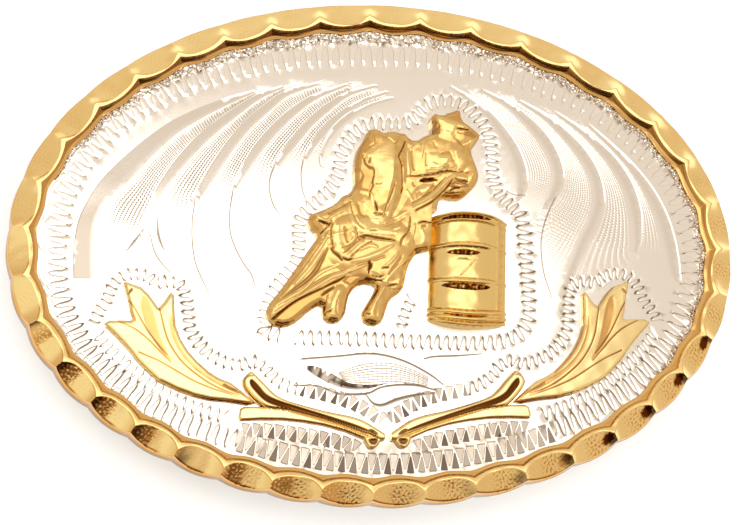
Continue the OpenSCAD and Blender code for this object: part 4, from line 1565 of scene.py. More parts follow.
    # Facets: tone, rise and outline as x, y. Tone 0 paints a highlight where a plane faces the light,
    # higher tones paint its shade
    facets = (
        (0, 0.05, ((1.5, 13.2), (2, 12.95), (1.9, 10.1), (1.7, 9.2), (1.3, 7.2), (0.2, 7), (0.1, 9.2),
         (-0.05, 9.9), (-0.55, 10.3), (-0.9, 11), (-1.3, 11.5), (-0.95, 11.9), (-0.1, 12.5))),
        (0.5, -0.05, ((-1.2, 14), (-0.4, 12.7), (-1.3, 11.9), (-1.8, 11.2), (-1.5, 10.3), (-0.7, 9.9),
         (-0.7, 8.3), (-1.2, 6.9), (-2.9, 7.4), (-3.1, 8.4), (-2.9, 10.4), (-2.2, 12.4))),
        (0, 0.06, ((6.2, 11.85), (7.6, 11.9), (7.7, 11.5), (9, 11.5), (8.8, 10.7), (8.4, 10.2), (7.4, 9.75),
         (6.1, 9.7), (6.2, 10.6))),
        (0, 0.04, ((7.3, 16.2), (8, 16.1), (9.6, 15.6), (11, 15.25), (11.7, 14.85), (11, 14.9), (9.9, 15.1),
         (9.5, 14.2), (9.2, 13.8), (8.3, 13.9), (8.05, 14.8), (8.1, 15.5))),
        (0.5, 0, ((8.3, 16.4), (8.8, 16.8), (9.9, 17.1), (10.3, 16.7), (10.7, 15.5), (9.6, 15.75))),
        (0.65, -0.05, ((6.7, 16.1), (7.3, 16), (7.9, 15.2), (7.9, 14.1), (6.9, 14.1))),
        (0.62, -0.04, ((10.4, 14.4), (11.6, 14.6), (12.5, 14), (12, 13.7), (10.8, 13.9))),
        (0, 0.05, ((12.2, 13.6), (11.4, 13.5), (11.3, 12.4), (11.6, 12.5))),
        (0.02, 0.05, ((5.1, 7.9), (6.6, 8.1), (6.4, 7.3), (5.2, 6.9), (4.8, 7.2))),
        (0.8, -0.12, ((8.8, 8.1), (9.5, 8.5), (10.8, 8), (11, 7.6), (10.2, 7.4), (9, 7.4), (8.6, 7.7))),
        (0, 0.08, ((9, 6.9), (9.3, 7.2), (10, 7.25), (10.2, 6.95), (9.6, 6.7))),
        (0, 0.04, ((-2.3, 3.7), (-0.2, 3.9), (0.2, 2.9), (1.9, 2.2), (2, 1.75), (-1.8, 1.95), (-2.7, 2.2),
         (-3.4, 3), (-3.9, 4.1), (-3.4, 4.2), (-3, 3.2))),
        (0.6, -0.05, ((-4.3, -3.2), (-2.6, -2.9), (-1.6, -3.1), (-1.2, -3.9), (-2.6, -4.2), (-4, -4.4),
         (-5, -3.9))),
        (0.55, 0, ((-9.6, -5.6), (-7.2, -4.7), (-6.2, -5.4), (-7.6, -6.6), (-9.4, -7.6), (-11.4, -8.9),
         (-12.8, -9.1), (-13.3, -8.5), (-11.8, -7.2))),
        (0.5, -0.04, ((-8.4, 3.9), (-7.7, 4.2), (-7.4, 3.3), (-6.4, 2.9), (-7.2, 1.9), (-8.3, 2.6))),
    )
    # Strokes: tone, rise and the line as x, y, radius. Dark tones paint shade in the creases they cut, tone
    # 0 paints highlights along the ridges they raise
    strokes = (
        # Head
        (0.55, -0.15, ((-0.27, 14.4, 0.12), (0.78, 13.66, 0.16))),
        (0.6, -0.12, ((-0.34, 14, 0.1), (-0.34, 12.94, 0.13), (-0.85, 12.6, 0.1))),
        (0.6, -0.15, ((1.09, 13.77, 0.1), (2.08, 12.86, 0.16), (2.62, 13.37, 0.12))),
        (0.75, -0.35, ((3.5, 13.3, 0.12), (2.97, 12.15, 0.16), (2.55, 11.3, 0.2), (2.8, 10.4, 0.18),
         (2.9, 9.3, 0.18), (2.9, 7.8, 0.16), (2.7, 6.9, 0.1))),
        (0.1, 0.12, ((3.7, 12.1, 0.25), (3.75, 10.8, 0.3), (3.8, 9.2, 0.22))),
        (0.8, -0.25, ((-1.7, 11.6, 0.1), (-1.65, 10.9, 0.14), (-1.45, 10.35, 0.16), (-1, 9.95, 0.18),
         (-0.6, 9.8, 0.14), (-0.55, 9.2, 0.13), (-0.75, 8.3, 0.14), (-0.75, 7.7, 0.12), (-1.1, 7, 0.12),
         (-1.25, 6.2, 0.1))),
        (0.85, -0.2, ((-0.92, 11.1, 0.14), (-1.1, 10.6, 0.16))),
        (0.85, -0.15, ((-2.7, 10.5, 0.15), (-2.72, 10.3, 0.15))),
        (0.75, -0.1, ((-0.3, 8.05, 0.09), (0.2, 8, 0.09))),
        (0.1, 0.06, ((-0.4, 7.8, 0.1), (0.25, 7.75, 0.1))),
        (0.6, -0.15, ((-2.3, 9.9, 0.2), (-2, 9, 0.3), (-2.3, 8.2, 0.2))),
        (0.2, 0.1, ((-2.5, 9.3, 0.14), (-2.5, 8.6, 0.14))),
        (0.1, 0.1, ((-1, 6.8, 0.14), (-0.85, 6.1, 0.2), (-0.7, 5.4, 0.12))),
        (0.15, 0.05, ((-0.3, 7, 0.14), (-0.25, 6.2, 0.16), (-0.4, 5.7, 0.1))),
        (0.7, -0.25, ((1.95, 8.1, 0.1), (1.4, 6.6, 0.14), (0.7, 5, 0.16), (0.6, 4.2, 0.1))),
        (0, 0.1, ((1.95, 7.6, 0.1), (1.65, 6.4, 0.2), (1.3, 5.1, 0.26), (1, 4.1, 0.2))),
        (0.95, -0.3, ((-0.55, 5.7, 0.13), (-0.4, 5.1, 0.2), (-0.3, 4.7, 0.13))),
        (0.85, -0.2, ((-0.7, 4.35, 0.12), (0.1, 4.25, 0.14), (0.35, 4.3, 0.08))),
        (0.1, 0.08, ((-0.6, 3.95, 0.12), (0.2, 3.95, 0.12))),
        # Rider
        (0, 0.12, ((4.15, 12.3, 0.12), (5.1, 12.9, 0.2))),
        (0, 0.12, ((5.7, 13.2, 0.14), (5.5, 12.2, 0.22), (5.3, 11.2, 0.14))),
        (0.6, -0.12, ((4.3, 12, 0.15), (4.35, 10.8, 0.25), (4.4, 9.8, 0.2))),
        (0.55, -0.1, ((5.95, 11.8, 0.12), (5.9, 10.3, 0.14))),
        (0.55, -0.15, ((7.9, 11.7, 0.14), (8.9, 11.8, 0.18), (9.25, 10.9, 0.14))),
        (0.85, -0.15, ((8.2, 10.4, 0.1), (8.7, 10.3, 0.11))),
        (0.85, -0.15, ((8.05, 10.05, 0.1), (8.6, 10.15, 0.08))),
        (0.7, -0.1, ((6.8, 10.7, 0.13), (7.3, 10.5, 0.1))),
        (0.6, -0.08, ((6.3, 9.85, 0.1), (7, 9.8, 0.08))),
        (0, 0.14, ((9.7, 12.1, 0.2), (9.75, 10.9, 0.22), (9.7, 10.2, 0.2), (9, 9.85, 0.14),
         (7.2, 9.6, 0.14), (5.8, 9.55, 0.12))),
        (0.7, -0.28, ((3.5, 8.9, 0.1), (5.2, 9, 0.14), (6.8, 9.2, 0.16), (8.3, 9.5, 0.15), (9.3, 9.5, 0.12),
         (10.9, 9.3, 0.08))),
        (0, 0.1, ((3.6, 8.7, 0.14), (5.6, 8.75, 0.16), (7.6, 9, 0.1))),
        (1, -0.5, ((5.15, 8.4, 0.14), (5.6, 8.45, 0.3), (6.4, 8.5, 0.28), (7.1, 8.45, 0.12))),
        (0.7, -0.15, ((4.2, 8.1, 0.14), (4.4, 7.8, 0.16))),
        (0.1, 0.08, ((3.4, 7.2, 0.14), (3.8, 6.5, 0.2), (4.1, 5.8, 0.12))),
        (0.65, -0.1, ((4.7, 7, 0.1), (4.6, 6.2, 0.1))),
        (0.6, -0.1, ((6.7, 7.9, 0.25), (6, 6.9, 0.25), (5.4, 6.5, 0.2))),
        (0.85, -0.3, ((4.4, 4.75, 0.12), (6.4, 5.8, 0.16), (7.9, 7.1, 0.18), (8.6, 7.9, 0.16),
         (9, 8.5, 0.1))),
        (0.7, -0.2, ((3.9, 5.6, 0.08), (6, 6.75, 0.1), (7.3, 7.9, 0.1), (8.2, 8.8, 0.08))),
        (0, 0.3, ((4, 5.2, 0.16), (6.1, 6.3, 0.2), (7.5, 7.5, 0.22), (8.4, 8.4, 0.24), (9.3, 9, 0.24))),
        (0, 0.12, ((9.6, 8.85, 0.14), (10.7, 8.55, 0.2))),
        (0.95, -0.3, ((9.35, 8.7, 0.1), (9.9, 8.4, 0.12), (10.75, 8.2, 0.16))),
        (0.3, 0.1, ((9.4, 7.9, 0.14), (10.4, 7.7, 0.14))),
        (0.95, -0.3, ((8.6, 6.9, 0.12), (9, 7.35, 0.15), (9.8, 7.45, 0.12))),
        (0.15, 0.05, ((8.3, 6.4, 0.12), (9.2, 6.35, 0.14), (10.1, 6.2, 0.1))),
        (0.9, -0.3, ((9.9, 14.85, 0.13), (10.6, 14.75, 0.17), (11.4, 14.65, 0.12))),
        (0.75, -0.12, ((10, 14.35, 0.12), (10.5, 14.25, 0.12))),
        (0.75, -0.15, ((9.55, 13.75, 0.1), (10.2, 13, 0.14), (10.8, 12.5, 0.14), (11.3, 12.1, 0.1))),
        (0.9, -0.15, ((7.35, 15.7, 0.1), (7.7, 15.1, 0.13), (7.3, 14.7, 0.1))),
        (0.2, 0.1, ((7.5, 15.4, 0.1), (7.45, 15, 0.1))), (0.7, -0.1, ((6.9, 13.2, 0.1), (7.2, 12.5, 0.12))),
        (0.05, 0.12, ((10.9, 10, 0.25), (10.8, 9.8, 0.25))),
        # Chest and shoulder
        (0.85, -0.28, ((-2.7, 1.42, 0.12), (-1.8, 1.6, 0.2), (-0.73, 1.4, 0.22), (0.4, 1.22, 0.2),
         (1.7, 1.05, 0.1))),
        (0, 0.08, ((-1.9, 1.05, 0.1), (0, 0.85, 0.12), (1.7, 0.72, 0.1))),
        (0.7, -0.15, ((-1.3, 2.25, 0.1), (-0.5, 2.25, 0.12))),
        (0.7, -0.25, ((-5.75, 3.2, 0.1), (-6, 2.4, 0.14), (-6, 1.6, 0.14), (-5.9, 0.6, 0.14),
         (-5.8, 0, 0.1))),
        (0, 0.12, ((-5.2, 2.8, 0.3), (-5.25, 1.4, 0.45), (-4.9, 0.2, 0.42), (-4.6, -0.4, 0.3))),
        (0, 0.08, ((-6.2, 2.5, 0.1), (-6.25, 1, 0.12))),
        (0.6, -0.12, ((-4.4, 2.6, 0.2), (-4.2, 1.6, 0.35), (-4.1, 0.9, 0.25))),
        (0, 0.12, ((-3.4, 2, 0.2), (-3.2, 1.5, 0.28), (-3.6, 0.9, 0.2))),
        (0.7, -0.2, ((-3.1, 2.6, 0.1), (-2.8, 1.7, 0.13), (-3.05, 1, 0.13), (-4, 0.35, 0.12),
         (-5, 0.1, 0.08))),
        (0.6, -0.2, ((-3.5, 5.6, 0.12), (-3.2, 4.2, 0.14), (-2.6, 2.9, 0.14), (-2.1, 2.5, 0.1))),
        (0.7, -0.22, ((-4.6, -0.5, 0.1), (-3.5, 0.42, 0.13), (-2.6, 1.15, 0.13), (-1.9, 1.25, 0.08))),
        (0.65, -0.18, ((-3.7, -0.9, 0.1), (-2.3, 0.25, 0.13), (-1.2, 0.85, 0.1))),
        (0, 0.12, ((-4.2, -0.6, 0.14), (-3, 0.5, 0.2), (-2.2, 0.9, 0.12))),
        (0, 0.12, ((-2.6, -0.1, 0.2), (-1.4, 0.4, 0.35), (-0.6, 0.2, 0.2))),
        (0, 0.15, ((-3.6, -1.45, 0.25), (-1.9, -1.1, 0.4), (-0.2, -0.46, 0.4), (1.3, 0.4, 0.25))),
        (0.6, -0.1, ((-3, -1.9, 0.2), (-1.2, -1.4, 0.22), (0.4, -0.9, 0.2))),
        (0.9, -0.3, ((-6.1, 0.1, 0.12), (-5.8, -0.35, 0.2), (-5.2, -0.9, 0.24), (-4.85, -1.4, 0.14))),
        (0.95, -0.3, ((-4.75, -1.1, 0.12), (-4.16, -1.34, 0.18), (-3.55, -1.2, 0.1))),
        (0.95, -0.4, ((-1.55, -1.6, 0.2), (-1.4, -2, 0.33), (-1.6, -2.5, 0.18), (-1.6, -2.9, 0.1))),
        (0, 0.12, ((2, -0.46, 0.14), (1.04, -1.56, 0.24), (0.2, -2.15, 0.14))),
        (0.85, -0.2, ((0, -2.3, 0.12), (0.8, -2.25, 0.12))),
        (0.15, 0.1, ((-1.1, -2.6, 0.14), (-0.4, -2.9, 0.3), (0.1, -3.2, 0.2))),
        (0.85, -0.2, ((-1.2, -3.2, 0.1), (-0.5, -3.4, 0.13), (0.2, -3.2, 0.1))),
        (0.85, -0.2, ((-0.8, -3.8, 0.12), (0, -3.8, 0.16))),
        (0.7, -0.2, ((4.1, 0, 0.12), (3.3, -1.1, 0.2), (2.5, -2.1, 0.12))),
        (0.65, -0.15, ((2.4, -0.9, 0.14), (1.6, -2, 0.2), (0.8, -3, 0.14))),
        (0, 0.12, ((3.5, -0.9, 0.14), (1.9, -2.2, 0.22), (0.7, -3.5, 0.2), (0.4, -4.1, 0.12))),
        (0.7, -0.25, ((3.7, 3.9, 0.12), (3.55, 2.8, 0.16), (3.2, 1.97, 0.16), (2.55, 1.2, 0.16),
         (2.35, 0.4, 0.1))),
        (0.1, 0.1, ((3.3, 0.8, 0.14), (3.9, 1.8, 0.2), (4.2, 3, 0.14))),
        (0.1, 0.08, ((0.6, 3.2, 0.1), (2.2, 4, 0.14), (3.2, 4.6, 0.1))),
        (0.6, -0.1, ((0.4, 2.7, 0.1), (2, 3.3, 0.12), (3, 3.9, 0.1))),
        (0.05, 0.08, ((0.9, 2.2, 0.12), (2.4, 2.7, 0.16))),
        (0.55, -0.08, ((-2.6, 5.4, 0.3), (-2.3, 4.4, 0.4), (-2, 3.9, 0.2))),
        (0.15, 0.05, ((-1.9, 5.6, 0.2), (-1.6, 4.8, 0.24))),
        (0.9, -0.25, ((4.7, 3.2, 0.12), (5.3, 3.35, 0.15), (6.3, 3.2, 0.1))),
        (0.8, -0.15, ((5.1, 2.85, 0.14), (5.5, 2.85, 0.16))),
        (0, 0.1, ((5, 2.4, 0.2), (5.3, 1.6, 0.35), (5.2, 0.9, 0.2))),
        (0.9, -0.3, ((4.2, 0, 0.16), (4.5, -0.3, 0.26), (4.8, -0.1, 0.16))),
        # Foreleg
        (0.05, 0.12, ((-3.3, 6.4, 0.14), (-5, 5.35, 0.2), (-6.6, 4.55, 0.14))),
        (0.8, -0.2, ((-3.5, 5.75, 0.1), (-4.4, 5.2, 0.14), (-5.2, 4.8, 0.12), (-6.25, 4.24, 0.12))),
        (0, 0.12, ((-3.4, 5.2, 0.14), (-5.1, 4.35, 0.2), (-6.2, 3.75, 0.12))),
        (0, 0.15, ((-7.8, 4.25, 0.16), (-7.4, 3.74, 0.22), (-6.75, 3.4, 0.18), (-6.05, 3.6, 0.12))),
        (0.95, -0.3, ((-7.5, 3.4, 0.12), (-6.9, 3.15, 0.2), (-6.25, 2.95, 0.14))),
        (0.8, -0.15, ((-6.3, 4.35, 0.12), (-5.95, 4.2, 0.1))),
        (0.7, -0.2, ((-5.9, 3.3, 0.12), (-6.7, 2.4, 0.15), (-7.3, 1.8, 0.12))),
        (0.6, -0.15, ((-6.3, 2.1, 0.1), (-7, 1.3, 0.12))),
        # Long leg
        (0.6, -0.12, ((-7.2, 0.9, 0.12), (-9.6, -2.3, 0.16), (-12.3, -5.6, 0.12))),
        (0, 0.15, ((-6.4, 1.2, 0.14), (-7.1, 0, 0.28), (-8.5, -2, 0.32), (-9.9, -3.55, 0.26),
         (-10.7, -4.4, 0.12))),
        (0.72, -0.2, ((-6.5, 0.1, 0.14), (-7.2, -1.2, 0.3), (-8.1, -2.7, 0.38), (-9.4, -3.95, 0.34),
         (-11.2, -5.2, 0.24), (-12.3, -6, 0.14))),
        (0, 0.14, ((-5.4, -2, 0.2), (-7, -2.6, 0.3), (-8.1, -3.4, 0.22), (-9.5, -4.8, 0.2),
         (-11, -5.65, 0.22), (-12.7, -6.6, 0.2))),
        (0.6, -0.12, ((-4.4, -2.6, 0.2), (-6.6, -3.3, 0.24), (-8.4, -4.3, 0.22), (-10.2, -5.6, 0.16),
         (-12, -6.7, 0.12))),
        (0, 0.2, ((-1.9, -1.9, 0.14), (-3.65, -2.56, 0.22), (-5.1, -3.05, 0.3), (-6.1, -3.4, 0.26),
         (-7.2, -4.05, 0.22), (-8.6, -4.85, 0.2), (-10, -5.65, 0.2), (-11.3, -6.4, 0.2),
         (-12.4, -7.2, 0.24), (-13, -7.6, 0.16))),
        (0.95, -0.35, ((-4.5, -3.3, 0.12), (-5.3, -3.75, 0.2), (-6.2, -4.15, 0.2), (-7.1, -4.6, 0.14),
         (-8.9, -5.4, 0.16), (-10.5, -6.2, 0.18), (-11.8, -7.1, 0.2), (-12.8, -7.9, 0.26),
         (-13.2, -8.3, 0.26))),
        (0.15, 0.1, ((-10.8, -8.5, 0.1), (-9.9, -7.9, 0.14))),
        (0.9, -0.25, ((-7.3, -5.5, 0.14), (-6.6, -5, 0.24), (-5.9, -4.6, 0.16))),
        # Other legs
        (0, 0.12, ((-5.4, -4.9, 0.12), (-6, -6.1, 0.24), (-6.3, -7.15, 0.16))),
        (0.7, -0.15, ((-6.6, -5.6, 0.14), (-6.9, -6.6, 0.18))),
        (0.05, 0.08, ((-5.2, -5.9, 0.08), (-5.45, -7.1, 0.1), (-5.25, -7.9, 0.08))),
        (0.6, -0.1, ((-5.55, -6, 0.08), (-5.75, -7.1, 0.1), (-5.5, -8, 0.08))),
        (0.95, -0.25, ((-6.9, -7.5, 0.14), (-6.4, -7.45, 0.17))),
        (0.95, -0.25, ((-7, -8.3, 0.12), (-6.3, -8.4, 0.15))),
        (0.95, -0.25, ((0.6, -4.45, 0.12), (1.1, -4.3, 0.18), (1.8, -4.2, 0.1))),
        (0.6, -0.1, ((0.9, -4.9, 0.14), (2.2, -4.7, 0.2))),
        (0, 0.12, ((-0.1, -4.5, 0.14), (-0.9, -5.8, 0.2), (-1.65, -7, 0.18))),
        (0.75, -0.2, ((-0.6, -5, 0.1), (-1.4, -6.2, 0.14), (-2, -7.2, 0.12))),
        (0.1, 0.06, ((-0.1, -6, 0.1), (-0.6, -7.2, 0.14), (-0.6, -8.2, 0.1))),
        (0.95, -0.25, ((-2.1, -7.65, 0.14), (-1.7, -7.8, 0.18))),
        (0.9, -0.2, ((-2.2, -8.4, 0.16), (-1.6, -8.7, 0.14))),
    )
    # A painted shade over the whole figure, which facets and strokes of tone 0 lift into painted highlights
    base_shade: float = 0.3
    mottle: float = 0.06
    # Rise of the form to its top, and share of the tables' rises that is cut
    lean: float = 0.03
    bite: float = 0.5

    def build(self, finish: bpy.types.Material, barrel: "Barrel") -> bpy.types.Object:
        """Sculpts the figure.

        Args:
            finish: Its material.
            barrel: The barrel, whose space the figure leaves free.

        Returns:
            The object.
        """
        form = Relief(self.oval, self.low, self.high, base_shade=self.base_shade)
        form.slab(self.outline, self.height, self.shoulder)
        for rows in self.swells:
            form.carve(rows, Section.DOME)
        form.tone += self.mottle * ripple(form.x, form.y, 0.9, 4)
        for rows in self.ridges:
            form.carve(rows, Section.RIDGE)
        for tone, rise, outline in self.facets:
            form.facet(tone, rise, outline)
        for tone, rise, points in self.strokes:
            form.touch(tone, self.bite * rise, points)
        form.height += 0.004 * ripple(form.x, form.y, 1.4, 3) + self.lean * (form.y + 2)
        form.height = np.maximum(form.height, form.lip * 0.8)
        form.inside = np.minimum(form.inside, -barrel.inside(form.x, form.y) - 0.05)
        return form.solid("cast_horse_and_rider", finish, 0.35)


@dataclass
class Barrel:
    """The cast drum beside the horse, sunk so far that only the front of its round side stands up."""

    oval: Oval
    x: float = 10.75
    y: float = -2.35
    lean_deg: float = 3.5
    rise: float = 2.3
    half_chord: float = 4.75
    top: float = 6.95
    bottom: float = -7.1
    bulge: float = 0.1
    least: float = 0.12
    gap: float = 0.05
    crease_deg: float = 35.0
    # Columns: place along the drum, half width and height of the rolled ridges round it
    ridges = (
        (6.72, 0.22, 0.22), (5.92, 0.16, 0.12), (2.78, 0.2, 0.16), (-1.66, 0.24, 0.18), (-5.55, 0.24, 0.2),
        (-6.3, 0.26, 0.24), (-6.95, 0.2, 0.1),
    )
    # Columns: place along the drum, half height, place across from -1 to 1, half width, depth
    slots = (
        (6.3, 0.26, -0.12, 0.62, 0.5), (5.66, 0.07, -0.1, 0.75, 0.15), (3.08, 0.07, -0.3, 0.9, 0.08),
        (2.48, 0.08, -0.3, 0.9, 0.12), (1.88, 0.36, -0.18, 0.4, 0.5), (1.05, 0.07, -0.2, 0.2, 0.12),
        (-1.3, 0.07, -0.2, 0.95, 0.1), (-2.3, 0.46, -0.1, 0.6, 0.5), (-5.2, 0.08, 0, 1, 0.14),
        (-5.9, 0.12, -0.1, 0.55, 0.3), (-6.65, 0.1, 0.1, 0.95, 0.2),
    )
    # A scratch across the middle band, as place across and along at each end
    scratch = ((0.14, 1.2), (-0.34, -1.38))

    def local(self, x: Array, y: Array) -> tuple[Array, Array]:
        """Turns field coordinates into ones across and along the drum."""
        lean = math.radians(self.lean_deg)
        dx, dy = x - self.x, y - self.y
        return dx * math.cos(lean) - dy * math.sin(lean), dx * math.sin(lean) + dy * math.cos(lean)

    def inside(self, x: Array, y: Array) -> Array:
        """How far inside the drum's outline each point is."""
        across, along = self.local(x, y)
        ends = np.minimum(along - self.bottom, self.top - along)
        return np.minimum(self.half_chord - np.abs(across), ends)

    def build(self, finish: bpy.types.Material) -> bpy.types.Object:
        """Meshes the drum as rows across its round side.

        Args:
            finish: Its material.

        Returns:
            The object.
        """
        rows, columns = np.linspace(self.bottom, self.top, 176), np.linspace(-1, 1, 72)
        place, across = np.meshgrid(rows, columns, indexing="ij")
        half = np.full(place.shape, self.half_chord)
        height = self.rise * (1 - np.abs(across) ** 2.8)
        fade = 1 - across**4
        for middle, reach, out in self.ridges:
            bead = out * np.clip(1 - ((place - middle) / reach) ** 2, 0, 1)
            height += bead * fade
            half += bead * 0.9
        tone = np.zeros(place.shape)
        rough = ripple(across * 5, place, 0.5, 4)
        for middle, reach, spot, spread, deep in self.slots:
            lens = np.clip(1 - ((across - spot) / spread) ** 2, 0, 1)
            tall = np.maximum(reach * np.sqrt(lens), 1e-3)
            share = np.clip(1 - (np.abs(place - middle) / tall) ** 2, 0, 1)
            height -= deep * share * (0.9 + 0.15 * rough)
            # Painted shade in the slots, darker the deeper they are
            dark = np.clip(deep * 2.2, 0, 1) * smooth_step(0, 0.5, share)
            tone = np.maximum(tone, dark * (0.85 + 0.25 * rough))
        (first_x, first_y), (last_x, last_y) = self.scratch
        share = np.clip((place - last_y) / (first_y - last_y), 0, 1)
        line = np.abs(across - last_x - share * (first_x - last_x)) * self.half_chord
        height -= 0.05 * np.clip(1 - line / 0.12, 0, 1) * ((place > last_y) & (place < first_y))
        height += 0.01 * ripple(across * 5, place, 2.0, 8) + self.edge_round(place, across)
        along = place * (1 - self.bulge * across**2)
        lean = math.radians(self.lean_deg)
        x = self.x + across * half * math.cos(lean) + along * math.sin(lean)
        y = self.y - across * half * math.sin(lean) + along * math.cos(lean)
        columns = (x, y, np.maximum(height, self.least), np.clip(tone, 0, 1))
        table = np.column_stack([column.ravel() for column in columns])
        faces = grid_faces(*place.shape)
        return closed_solid("cast_barrel", self.oval, table, faces, self.gap, finish, self.crease_deg)

    def edge_round(self, place: Array, across: Array) -> Array:
        """How far the surface drops at its top and bottom edges."""
        near = np.minimum(self.top - place, place - self.bottom)
        return -0.3 * np.clip(1 - near / 0.18, 0, 1) ** 2 * (1 - across**2)


class Side(Enum):
    """The side of the buckle that a leaf spray is on."""

    LEFT = 1
    RIGHT = -1


@dataclass
class LeafSpray:
    """A spray of three leaves with a scroll and a ribbon below them."""

    oval: Oval
    side: Side

    # Ends of the left spray's grid, across and up
    across = (-33.6, -0.4)
    up = (-24.3, -3.2)
    leaves = (
        (-33.2, -8.6), (-32.6, -8.25), (-31.2, -8.2), (-30.2, -8.3), (-29.85, -8.1), (-30.1, -7.3),
        (-30.3, -6), (-30.6, -4.8), (-30.8, -3.7), (-30.4, -3.65), (-29.6, -3.95), (-28.7, -4.3),
        (-27.9, -5.1), (-27.2, -6.1), (-26.75, -6.8), (-26.1, -6.1), (-25.5, -5.2), (-25.2, -4.9),
        (-24.85, -5.3), (-24.85, -7), (-24.75, -9), (-24.2, -10.6), (-23.4, -12), (-22.4, -13.2),
        (-21, -14.5), (-19.9, -15.2), (-18.5, -15.8), (-17.5, -16.6), (-16.6, -17.4), (-15.6, -18.3),
        (-16.6, -18.5), (-19, -18.1), (-21, -17.9), (-23, -17.4), (-25, -16.6), (-27, -15.6),
        (-28.3, -14.4), (-29.5, -13.1), (-30.2, -12.1), (-31, -11.1), (-32, -10), (-33, -9),
    )
    scroll = (
        (-15.9, -14.5), (-14.9, -15.5), (-13.6, -17), (-12.5, -17.8), (-10, -18.6), (-7.1, -19.4),
        (-4.4, -19.9), (-2.7, -20.5), (-1.5, -21.3), (-0.2, -22.1), (0.2, -22.6), (-0.8, -23.1),
        (-1.6, -22.6), (-3.1, -22.1), (-5.8, -21.1), (-9.1, -20), (-12, -19.2), (-14.1, -19.1),
        (-15.1, -18.6), (-16, -17.7), (-16.9, -16.6), (-17.2, -15.9), (-17, -15.3), (-16.6, -14.85),
        (-16.2, -14.55),
    )
    curl = (
        (-3, -22.3), (-2.75, -22.9), (-2.6, -23.4), (-2.1, -23.9), (-1.5, -23.8), (-1.1, -23.4),
        (-0.75, -22.8), (-1.2, -22.3),
    )
    ribbon = (
        (-17.5, -18.95), (-17, -18.7), (-15.1, -18.7), (-12, -19.1), (-9.2, -19.9), (-5.8, -21),
        (-3.1, -22), (-1.8, -22.5), (-2.6, -22.75), (-4.9, -21.8), (-7.5, -21.05), (-10, -20.6),
        (-12.6, -20.3), (-15.1, -20.25), (-17.5, -20.35), (-17.7, -19.9),
    )
    # Columns: x, y, radius; the fine veins between and in the leaves, and along the ribbon, dark with
    # painted shade
    veins = (
        ((-26.75, -6.8, 0.14), (-26.5, -8, 0.16), (-26.2, -9.5, 0.17), (-25.8, -10.8, 0.17),
         (-25.2, -12, 0.17), (-24.2, -13.4, 0.17), (-22.8, -14.7, 0.17), (-21, -16, 0.17),
         (-19.2, -16.9, 0.16), (-17.6, -17.4, 0.12)),
        ((-30.3, -5.9, 0.12), (-29.7, -6.8, 0.15), (-28.9, -8.3, 0.16), (-28.2, -9.6, 0.16),
         (-27.2, -11, 0.16), (-26, -12.5, 0.12)),
        ((-31.6, -8.4, 0.12), (-29.5, -9.5, 0.16), (-28, -10.8, 0.16), (-27, -11.9, 0.16),
         (-25.6, -13.4, 0.12)),
        ((-29.3, -12.15, 0.17), (-27, -13.2, 0.15), (-25, -14.4, 0.16), (-23, -15.6, 0.16),
         (-21, -16.5, 0.16), (-19, -17.2, 0.14), (-17.5, -17.7, 0.1)),
    )
    # Hollow strips: tone, rise and outline as x, y; their tones paint the shade of the tan strips on the
    # leaves and of the dark ribbon
    strips = (
        (0.48, -0.02, ((-28.7, -5.2), (-28, -5.7), (-27.5, -7), (-27.2, -8.2), (-26.8, -10), (-26.2, -11.7),
         (-25.1, -13.7), (-26.4, -12.6), (-27.6, -10.8), (-28.4, -9.2), (-28.8, -7.6), (-29, -6.4))),
        (0.48, -0.02, ((-25.4, -7.6), (-25.1, -8.2), (-25, -9.6), (-24.6, -11), (-23.8, -12.5),
         (-22.5, -13.9), (-21, -15), (-19.4, -15.8), (-17.6, -16.9), (-16.4, -17.7), (-17.8, -17.3),
         (-19.6, -16.5), (-21.6, -15.3), (-23.4, -13.8), (-24.7, -12), (-25.4, -10.4), (-25.7, -8.8))),
        (0.97, -0.2, ((-16.35, -15.5), (-15.95, -15.5), (-15.2, -16.3), (-14.5, -17.3), (-13.2, -18),
         (-10.5, -18.85), (-7.1, -19.95), (-4.1, -20.95), (-2.4, -21.65), (-1.5, -22.2), (-2.4, -22),
         (-4.1, -21.45), (-7.1, -20.5), (-10.5, -19.55), (-13.2, -18.85), (-14.7, -18.2), (-15.7, -17.1),
         (-16.4, -16.2))),
        (0.85, -0.2, ((-2.5, -22.7), (-1.4, -22.6), (-1.1, -22.9), (-1.5, -23.5), (-2.1, -23.5),
         (-2.4, -23.1))),
        (0.85, -0.2, ((-2.6, -21.75), (-2, -21.5), (-1.2, -22.1), (-1.1, -22.4), (-1.9, -22.3))),
    )
